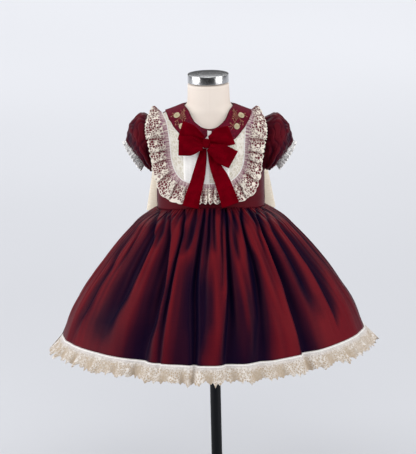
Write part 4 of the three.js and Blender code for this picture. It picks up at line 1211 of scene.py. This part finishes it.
def make_ruffle():
    marks = {"across": lambda u, v: v, "hollow": ruffle_painted_shade, "folded": ruffle_doubled_and_highlit}
    piece = cloth("bib_ruffle_lace", 900, 26, ruffle_surface, (560, 38), 0.5, marks=marks, measured=0.7)
    finish_piece(piece, RUFFLE_LACE, ["bib_ruffle"])


make_ruffle()


# The collar, its embroidery and its roses
def collar_point(angle, out, layer="collar", extra=0.0):
    base = body_point(np.radians(angle), lerp(neck_z(angle) - 0.6, collar_z(angle), out))
    return layered(base, layer, extra)


def collar_surface(u, v):
    angle = lerp(2.2, 179.7, u ** 1.25)
    # The neck edge turns down towards the neck and the free edge is a little raised by its seam
    turned = -(1.3 + 1.1 * smooth(50, 72, angle)) * (1 - smooth(0, 0.16, v)) * smooth(14, 40, angle)
    turned = turned + 0.35 * smooth(0.9, 0.97, v)
    front = collar_point(angle, v, "collar", turned)
    back = collar_point(angle, v, "collar_back", turned * 0.4)
    share = smooth(85, 125, angle)[..., None]
    p = front * (1 - share) + back * share
    p[..., 0] = np.maximum(p[..., 0], 0.3)
    return p


def collar_stroke(side, places, radius, name):
    """A satin stitch along points of the collar, given as angle and share across it."""
    rows = np.array(places, float)
    chords = np.linspace(0, 1, len(rows))
    angle_at, out_at = through(chords, rows[:, 0]), through(chords, rows[:, 1])

    def path(v):
        p = collar_point(angle_at(v), out_at(v), "thread")
        p[..., 0] *= side
        return p

    def tapered(v):
        return radius * (0.35 + 0.65 * np.sin(math.pi * np.clip(v, 0.04, 0.96)) ** 0.5)

    return tube(name, path, tapered, 5, 12, GOLD_THREAD)


def join(pieces, name):
    active_only(pieces[0])
    for piece in pieces[1:]:
        piece.select_set(True)
    bpy.ops.object.join()
    bpy.context.object.name = name
    return bpy.context.object


# angle round the neck and share across the collar of each stroke's points
SPRIGS = [
    [(25.0, 0.42), (28.5, 0.36), (32.0, 0.30), (36.0, 0.32), (40.0, 0.24), (46.0, 0.22), (52.0, 0.30)],
    [(33.0, 0.30), (34.0, 0.20), (35.0, 0.12)], [(35.0, 0.31), (36.8, 0.20), (38.5, 0.14)],
    [(29.0, 0.36), (28.0, 0.25), (28.5, 0.16)], [(30.5, 0.34), (31.5, 0.22), (31.0, 0.13)],
    [(26.0, 0.40), (24.0, 0.33), (23.0, 0.26)], [(27.0, 0.40), (25.5, 0.50), (23.5, 0.55)],
    [(20.5, 0.36), (22.0, 0.40), (25.0, 0.42)], [(41.0, 0.24), (41.5, 0.14), (43.5, 0.09)],
    [(44.0, 0.22), (46.5, 0.13), (49.5, 0.12)], [(36.0, 0.33), (37.0, 0.45), (37.5, 0.58)],
    [(37.2, 0.48), (39.0, 0.56), (39.5, 0.66)], [(36.8, 0.46), (35.0, 0.54), (34.5, 0.64)],
    [(37.5, 0.60), (38.5, 0.70), (37.6, 0.80)], [(47.0, 0.62), (49.5, 0.70), (49.0, 0.82)],
    [(48.0, 0.64), (52.0, 0.62), (55.0, 0.70)],
]
LEAVES = [(34.6, 0.16), (38.0, 0.15), (28.4, 0.18), (31.2, 0.15), (23.5, 0.28), (42.8, 0.11), (48.8, 0.12),
          (39.4, 0.63), (34.6, 0.61), (38.2, 0.74), (49.3, 0.78), (54.0, 0.68)]
# angle, share across the collar and radius of the ribbon roses
ROSES = [("outer", 43.4, 0.44, 6.1), ("inner", 30.3, 0.57, 5.4)]


def make_rose(name, angle, out, radius, side):
    seat = collar_point(np.array([angle]), np.array([out]), "rose")[0]
    normal = unit(outwards(seat[None]))[0]
    around = unit(np.cross(np.array([0, 0, 1.0]), normal))
    across = np.cross(normal, around)

    def surface(u, v):
        # A ribbon wound in a flat spiral, folded outwards like petals
        turn = 2 * math.pi * 3.3 * u
        r = radius * (0.08 + 0.84 * u) * (1 + 0.07 * np.sin(turn * 1.618))
        r = r + 1.3 * (v - 0.3) * smooth(0, 0.4, u)
        high = lerp(1.9, 0.5, u) * (0.15 + 0.95 * v) + 0.5 * (1 - u)
        p = seat + around * (r * np.cos(turn))[..., None] + across * (r * np.sin(turn))[..., None]
        return p + normal * (high - 0.5)[..., None]

    def pad(u, v):
        turn = 2 * math.pi * u
        r = radius * 0.96 * v
        p = seat + around * (r * np.cos(turn))[..., None] + across * (r * np.sin(turn))[..., None]
        return p - normal * 0.3

    word = "left" if side < 0 else "right"
    ribbon = cloth(f"ribbon_rose_{name}_{word}", 96, 4, mirrored(surface, side), (70, 5), 0.45)
    finish_piece(ribbon, ROSETTE, [f"rose_{name}_{word}"])
    backing = cloth(f"rose_pad_{name}_{word}", 24, 4, mirrored(pad, side), (12, 12), 0.5, closed=True)
    finish_piece(backing, ROSETTE)
    return [ribbon, backing]


def make_collars():
    for side, word in SIDES:
        collar = cloth(f"collar_{word}_cloth", 150, 30, mirrored(collar_surface, side), (230, 52), 0.9,
                       turn_over=side > 0, marks={"across": lambda u, v: v})
        finish_piece(collar, JACQUARD, [f"collar_{word}"])
        strokes = [collar_stroke(side, row, 0.28, f"sprig_{word}_{i}") for i, row in enumerate(SPRIGS)]
        for i, (angle, out) in enumerate(LEAVES):
            places = [(angle - 0.9, out - 0.03), (angle, out), (angle + 0.9, out + 0.03)]
            strokes.append(collar_stroke(side, places, 0.62, f"leaf_{word}_{i}"))
        sprigs = join(strokes, f"collar_embroidery_{word}")
        finish_piece(sprigs, GOLD_THREAD)
        sewn_on = [sprigs]
        for name, angle, out, radius in ROSES:
            sewn_on += make_rose(name, angle, out, radius, side)


make_collars()


# Lace at the cuffs
CUFF_EDGE = (0, 143.4, 671.6, 33, 29.5, 29)


def cuff_lace_surface(u, v):
    turn = -2 * math.pi * u
    row = SLEEVE[-1]
    tilt = math.radians(row[3])
    arm = np.array([math.cos(tilt), 0, -math.sin(tilt)])
    cuff = sleeve_ring(turn, row) - arm * 1.0
    wave = 1.6 * np.cos(26 * turn) + 1.0 * np.cos(11 * turn + 1)
    edge = sleeve_ring(turn, CUFF_EDGE, wave * smooth(0, 1, v))
    picot = 1.1 * np.abs(np.sin(turn * 23)) ** 0.6
    share = v * (1 + picot / 11 * smooth(0.75, 1, v))
    return cuff + (edge - cuff) * share[..., None]


def make_cuff_lace(side, word):
    piece = cloth(f"cuff_lace_{word}_picot", 368, 10, mirrored(cuff_lace_surface, side), (300, 11), 0.4,
                  closed=True, turn_over=side > 0, marks={"across": lambda u, v: v})
    finish_piece(piece, CUFF_LACE, [f"cuff_lace_{word}"])


for sleeve_side, sleeve_name in SIDES:
    make_cuff_lace(sleeve_side, sleeve_name)


# Lace at the hem
HEM_LACE_WIDTH = 36
HEM_LACE_CUT = (1150, HEM_LACE_WIDTH)


def hem_waves(angle):
    a = np.radians(angle)
    broad = 3.8 * np.sin(38 * a + 1.3 * np.sin(5 * a)) + 2.8 * np.sin(61 * a + 2 * np.sin(7 * a + 1))
    return broad + 1.5 * np.sin(97 * a)


HEM_LACE_FLARE = math.radians(21)


def hem_frame(angle):
    """A point of the skirt's edge, the way that the cloth runs down there, and the way outwards."""
    hem = skirt_point(angle, np.ones_like(angle))
    a = np.radians(angle)
    return hem, unit(hem - skirt_point(angle, np.full_like(angle, 0.97))), points(np.sin(a), -np.cos(a), 0)


def hem_lace_point(angle, r):
    hem, down, out = hem_frame(angle)
    away = unit(down * math.cos(HEM_LACE_FLARE) + out * math.sin(HEM_LACE_FLARE))
    # The edge's cones stand at uneven distances
    cones = 1 - np.abs(np.sin(0.92 * angle + 1.5 * np.sin(0.23 * angle) + 0.8 * np.sin(0.61 * angle)))
    small = 1 - np.abs(np.sin(2.3 * angle))
    length = HEM_LACE_WIDTH + 3.6 * wander(angle / 26, angle / 47, 12)
    length = length + (6.0 * (cones ** 0.8 - 0.5) + 2.6 * (small - 0.36)) * smooth(0.5, 1, r)
    return (
        hem + down * -1.5 + away * (length * r)[..., None]
        + out * (0.4 + hem_waves(angle) * smooth(0.05, 1, r))[..., None]
    )


def hem_tape_point(angle, r):
    hem, down, out = hem_frame(angle)
    return hem + down * (0.2 + 0.9 * r)[..., None] + out * (1.2 + 0.8 * r)[..., None]


def make_hem_lace(name, start, end, node):
    trim = 0.06

    def angle(u):
        return lerp(start + trim, end - trim, u)

    # Painted shade in the valleys of the lace's gathers, towards its tan gap colour
    def hollow(u, v):
        return np.clip(0.2 - hem_waves(angle(u)) / 6, 0, 0.9) * smooth(0.1, 0.7, 1 - v)

    piece = cloth(name, 760, 16, lambda u, v: hem_lace_point(angle(u), 1 - v), HEM_LACE_CUT, 0.5,
                  marks={"across": lambda u, v: 1 - v, "hollow": hollow})
    finish_piece(piece, HEM_LACE, [node])
    # The white tape that the lace is sewn to shows as a line under the taffeta
    tape = cloth(f"{name}_tape", 400, 4, lambda u, v: hem_tape_point(angle(u), 1 - v), (HEM_LACE_CUT[0], 3), 0.4)
    finish_piece(tape, WHITE_SATIN)


make_hem_lace("hem_lace_front_gathered", -90, 90, "hem_lace_front")
make_hem_lace("hem_lace_back_gathered", 90, 270, "hem_lace_back")


# Ribbon bows
def ribbon_loop(name, shape, columns, rows, thickness, material, node):
    root, out, wide, near = (np.array(shape[key], float) for key in ("root", "out", "wide", "near"))

    def surface(u, v):
        turn = u * math.pi
        reach = np.sin(turn)
        pinch = smooth(0, shape["pinch"], reach)
        width = lerp(shape["knot_width"], shape["width"], pinch)
        crease = shape["crease"] * np.cos(2 * math.pi * (shape["creases"] * v + 0.1))
        crease = crease * (1 - smooth(0, 0.75, reach)) * smooth(0, 0.08, reach)
        cupped = shape["cup"] * pinch * (1 - (2 * v - 1) ** 2)
        layer = shape["root_gap"] * np.cos(turn) + shape["puff"] * np.sin(2 * turn) * 0.5
        along = shape["length"] * reach ** 1.15 + shape["slant"] * (v - 0.5) * pinch
        across = (v - 0.5) * width + shape["droop"] * reach ** 2
        return (
            root + out * along[..., None] + wide * across[..., None]
            + near * (layer + cupped * np.cos(turn) + crease * np.sign(np.cos(turn)))[..., None]
        )

    piece = cloth(name, columns, rows, surface, (shape["length"] * 2, shape["width"]), thickness)
    finish_piece(piece, material, [node])


def wrapped_knot(name, centre, sizes, creases, material, node):
    """A knot: a short band of ribbon wound round the bow's middle, drawn in at its ends."""
    centre, sizes = np.array(centre, float), np.array(sizes, float)

    def surface(u, v):
        turn = 2 * math.pi * u
        tilt = (v - 0.5) * math.pi * 0.995
        crease = 0.05 * np.cos(2 * math.pi * creases * v + 1.1 * np.sin(turn)) * np.cos(tilt)
        band = 1 + crease + 0.04 * np.sin(turn * 2)
        r = np.cos(tilt) ** 0.62 * band
        return centre + sizes * points(r * np.cos(turn), r * np.sin(turn), np.sin(tilt))

    piece = cloth(name, 48, 36, surface, (60, 20), 0, closed=True)
    weld(piece, 2e-4)
    finish_piece(piece, material, [node])


def ribbon_tail(name, stations, columns, rows, thickness, material, node):
    table = np.array(stations, float)
    at = [through(table[:, 0], table[:, k]) for k in range(1, 6)]

    def surface(u, v):
        x, y, z, width, turn = (f(u) for f in at)
        turn = np.radians(turn)
        half = (v - 0.5) * width
        fold = 0.9 * np.cos(2 * math.pi * (v * 1.5 + 0.2)) * (1 - smooth(0, 0.5, u))
        fold = fold - 1.6 * (1 - (2 * v - 1) ** 2) * smooth(0.1, 0.5, u)
        return points(x + half * np.cos(turn), y + fold + 0.5, z + half * np.sin(turn))

    piece = cloth(name, columns, rows, surface, (112, 30), thickness)
    finish_piece(piece, material, [node])


KNOT = np.array([-6.6, -78.6, 710.5])
# name, side, degrees up, start, length, slant
FRONT_LOOPS = [
    ("upper_left", -1, 22.5, 5.8, 50, -3), ("lower_left", -1, 1, 5.8, 50, 1),
    ("upper_right", 1, 12.5, 5.6, 48, -5), ("lower_right", 1, -27.5, 5, 55, 1),
]
# share of the length, x, y, z, width, turn in degrees
TAIL_LEFT = [
    (0, -11.1, -72.4, 699.6, 10, 2), (0.22, -16.1, -75.8, 675, 19, 4), (0.55, -24.1, -82.5, 642, 26, 5),
    (0.78, -31.6, -89, 619, 28, -4), (1, -38.3, -93.5, 595.5, 30, -15),
]
TAIL_RIGHT = [
    (0, 0.4, -72.4, 698.8, 10, 4), (0.22, 7.4, -77.2, 674, 19, 8), (0.55, 19.4, -82.5, 646, 28, 16),
    (0.78, 27.4, -89, 624, 30, 18), (1, 35.7, -93.5, 597.5, 33, 18),
]


def make_front_bow():
    for name, side, lift, start, length, slant in FRONT_LOOPS:
        a = math.radians(lift)
        upper = name.startswith("upper")
        out = np.array([side * math.cos(a), 0, math.sin(a)])
        wide = np.array([-side * math.sin(a), 0, math.cos(a)]) * side
        # The upper loops are tied behind the lower ones
        beside_knot = np.array([0, 3.2, 4.6] if upper else [0, -3.1, -4.6])
        shape = dict(root=KNOT + out * start + beside_knot, out=out, wide=wide, near=(0, -1, 0),
                     length=length - start, width=36, knot_width=15, root_gap=1.2, puff=3.4, cup=0.9,
                     slant=slant, droop=0, pinch=0.62, crease=0.9, creases=2.5, cut=92, knot="velvet_knot")
        ribbon_loop(f"velvet_loop_{name}", shape, 64, 24, 0.8, VELVET, f"bow_{name}")
    wrapped_knot("velvet_knot", KNOT, (7.6, 6.6, 8.8), 3, VELVET, "bow_knot")
    ribbon_tail("velvet_tail_left", TAIL_LEFT, 60, 18, 0.8, VELVET, "bow_tail_left")
    ribbon_tail("velvet_tail_right", TAIL_RIGHT, 60, 18, 0.8, VELVET, "bow_tail_right")


make_front_bow()

# The satin sash and bow at the back
BACK_KNOT = np.array([0, 86.2, 597.0])


def make_sash(side, word):
    def surface(u, v):
        width = lerp(56, 24, u)
        z = lerp(WAIST_Z + 33, BACK_KNOT[2] + 4, smooth(0, 1, u)) + (v - 0.5) * width
        angle = np.radians(lerp(95, 175.5, u))
        gather = 0.9 * np.cos(2 * math.pi * (3.5 * v + 0.25 * u)) * smooth(0.15, 0.9, u)
        p = on_body(body_point(angle, z), 2.6 + gather)
        p[..., 0] *= side
        p[..., 1] += 0.3 + 4 * smooth(0.4, 1, u)
        return p

    piece = cloth(f"sash_{word}_satin", 60, 30, surface, (150, 56), 0.5, turn_over=side > 0)
    finish_piece(piece, IVORY_SATIN, [f"sash_{word}"])


def make_back_tail(side, word):
    def surface(u, v):
        t = lerp(0.04, 0.9, u) - 0.07 * v * smooth(0.6, 1, u)
        width = 54 * lerp(0.32, 1, smooth(0, 0.35, u)) / skirt_back(t)
        middle = lerp(7, 17, smooth(0, 0.6, u)) + 2 * u
        a = math.pi - side * (np.radians(middle) + (v - 0.5) * width)
        hem = hem_z(a)
        fold = 1.6 * np.sin(2 * math.pi * (v * 1.5 + 0.1)) * (1 - smooth(0.1, 0.7, u))
        clear = lerp(3, 7.5, smooth(0, 0.2, u)) + fold + 1.2 * wander(v, u * 1.5, 31 + side)
        return points(skirt_half(t) * np.sin(a), -skirt_back(t) * np.cos(a) + clear,
                      lerp(WAIST_Z, hem, t) + clear * 0.4)

    piece = cloth(f"back_tail_{word}_satin", 80, 28, surface, (240, 54), 0.5)
    finish_piece(piece, IVORY_SATIN, [f"back_tail_{word}"])


def make_back_bow():
    for side, word in SIDES:
        make_sash(side, word)
        out = unit(np.array([side, 0.14, -0.05]))
        wide = unit(np.array([0, -0.3, 1.0])) * side
        shape = dict(root=BACK_KNOT + np.array([side * 12, 3, 0]), out=out, wide=wide,
                     near=unit(np.array([0, 1, 0.3])), length=103, width=84, knot_width=26, root_gap=2.6,
                     puff=18, cup=1.5, slant=-side * 14, droop=-side * 4, pinch=0.55, crease=2.6,
                     creases=3.5, cut=215, knot="satin_knot")
        ribbon_loop(f"satin_loop_{word}", shape, 90, 40, 0.5, IVORY_SATIN, f"back_bow_{word}")
        make_back_tail(side, word)
    wrapped_knot("satin_knot", BACK_KNOT, (13, 9.6, 16.5), 4, IVORY_SATIN, "back_bow_knot")


make_back_bow()

# Studio: a pale floor, lit at its far end, two soft boxes at the sides and a soft sky
def add_soft_box(name, place, aim, width, height, watts):
    data = bpy.data.lights.new(name, "AREA")
    data.shape = "RECTANGLE"
    data.size, data.size_y = width, height
    data.energy = watts
    lamp = bpy.data.objects.new(name, data)
    scene.collection.objects.link(lamp)
    lamp.location = place
    lamp.rotation_euler = (Vector(aim) - Vector(place)).to_track_quat("-Z", "Y").to_euler()


def around(azimuth, distance, height):
    """A place round the dress: 0 degrees is towards the camera, 90 to its right."""
    a = math.radians(azimuth)
    return (distance * math.sin(a), -distance * math.cos(a), height)


def make_studio():
    bpy.ops.object.select_all(action="DESELECT")
    bpy.ops.mesh.primitive_plane_add(size=1)
    floor = bpy.context.object
    floor.name = "studio_floor"
    for vertex in floor.data.vertices:
        vertex.co = Vector((vertex.co.x * 16, -1.6 if vertex.co.y < 0 else 15, 0))
    material, tree, shader = new_material("matt_grey_card")
    cloud = noise(tree, coordinates(tree, "Object"), 0.6, 1.0)
    set_shader(tree, shader, Roughness=1.0, Specular_IOR_Level=0.0,
               Base_Color=shades(tree, cloud, (0.35, "#cfd0d4"), (0.7, "#d2d3d7")))
    floor.data.materials.append(material)
    # The sky is bright overhead and dark round the horizon, so that the steel has something to mirror
    world = bpy.data.worlds.new("studio")
    world.use_nodes = True
    tree = world.node_tree
    background = tree.nodes["Background"]
    level = add_node(tree, "ShaderNodeSeparateXYZ", Vector=coordinates(tree, "Generated")).outputs["Z"]
    sky = shades(tree, level, (0.0, "#3a3b3d"), (0.16, "#5a5a5b"), (0.3, "#6e7073"), (0.75, "#f0f2f6"))
    feed(tree, background.inputs["Color"], sky)
    background.inputs["Strength"].default_value = 0.8
    scene.world = world
    add_soft_box("soft_box_left", around(-73, 2.6, 1.2), (0, 0, 0.9), 2.3, 2.3, 58)
    add_soft_box("soft_box_right", around(62, 2.6, 1.2), (0, 0, 0.9), 1.8, 2.3, 44)
    add_soft_box("front_fill", (0, -3.2, 2.9), (0, 0, 0.55), 2.4, 1.4, 38)
    add_soft_box("background_light", (0, 5.5, 4.2), (0, 5.8, 0), 9.0, 5.0, 262)


make_studio()
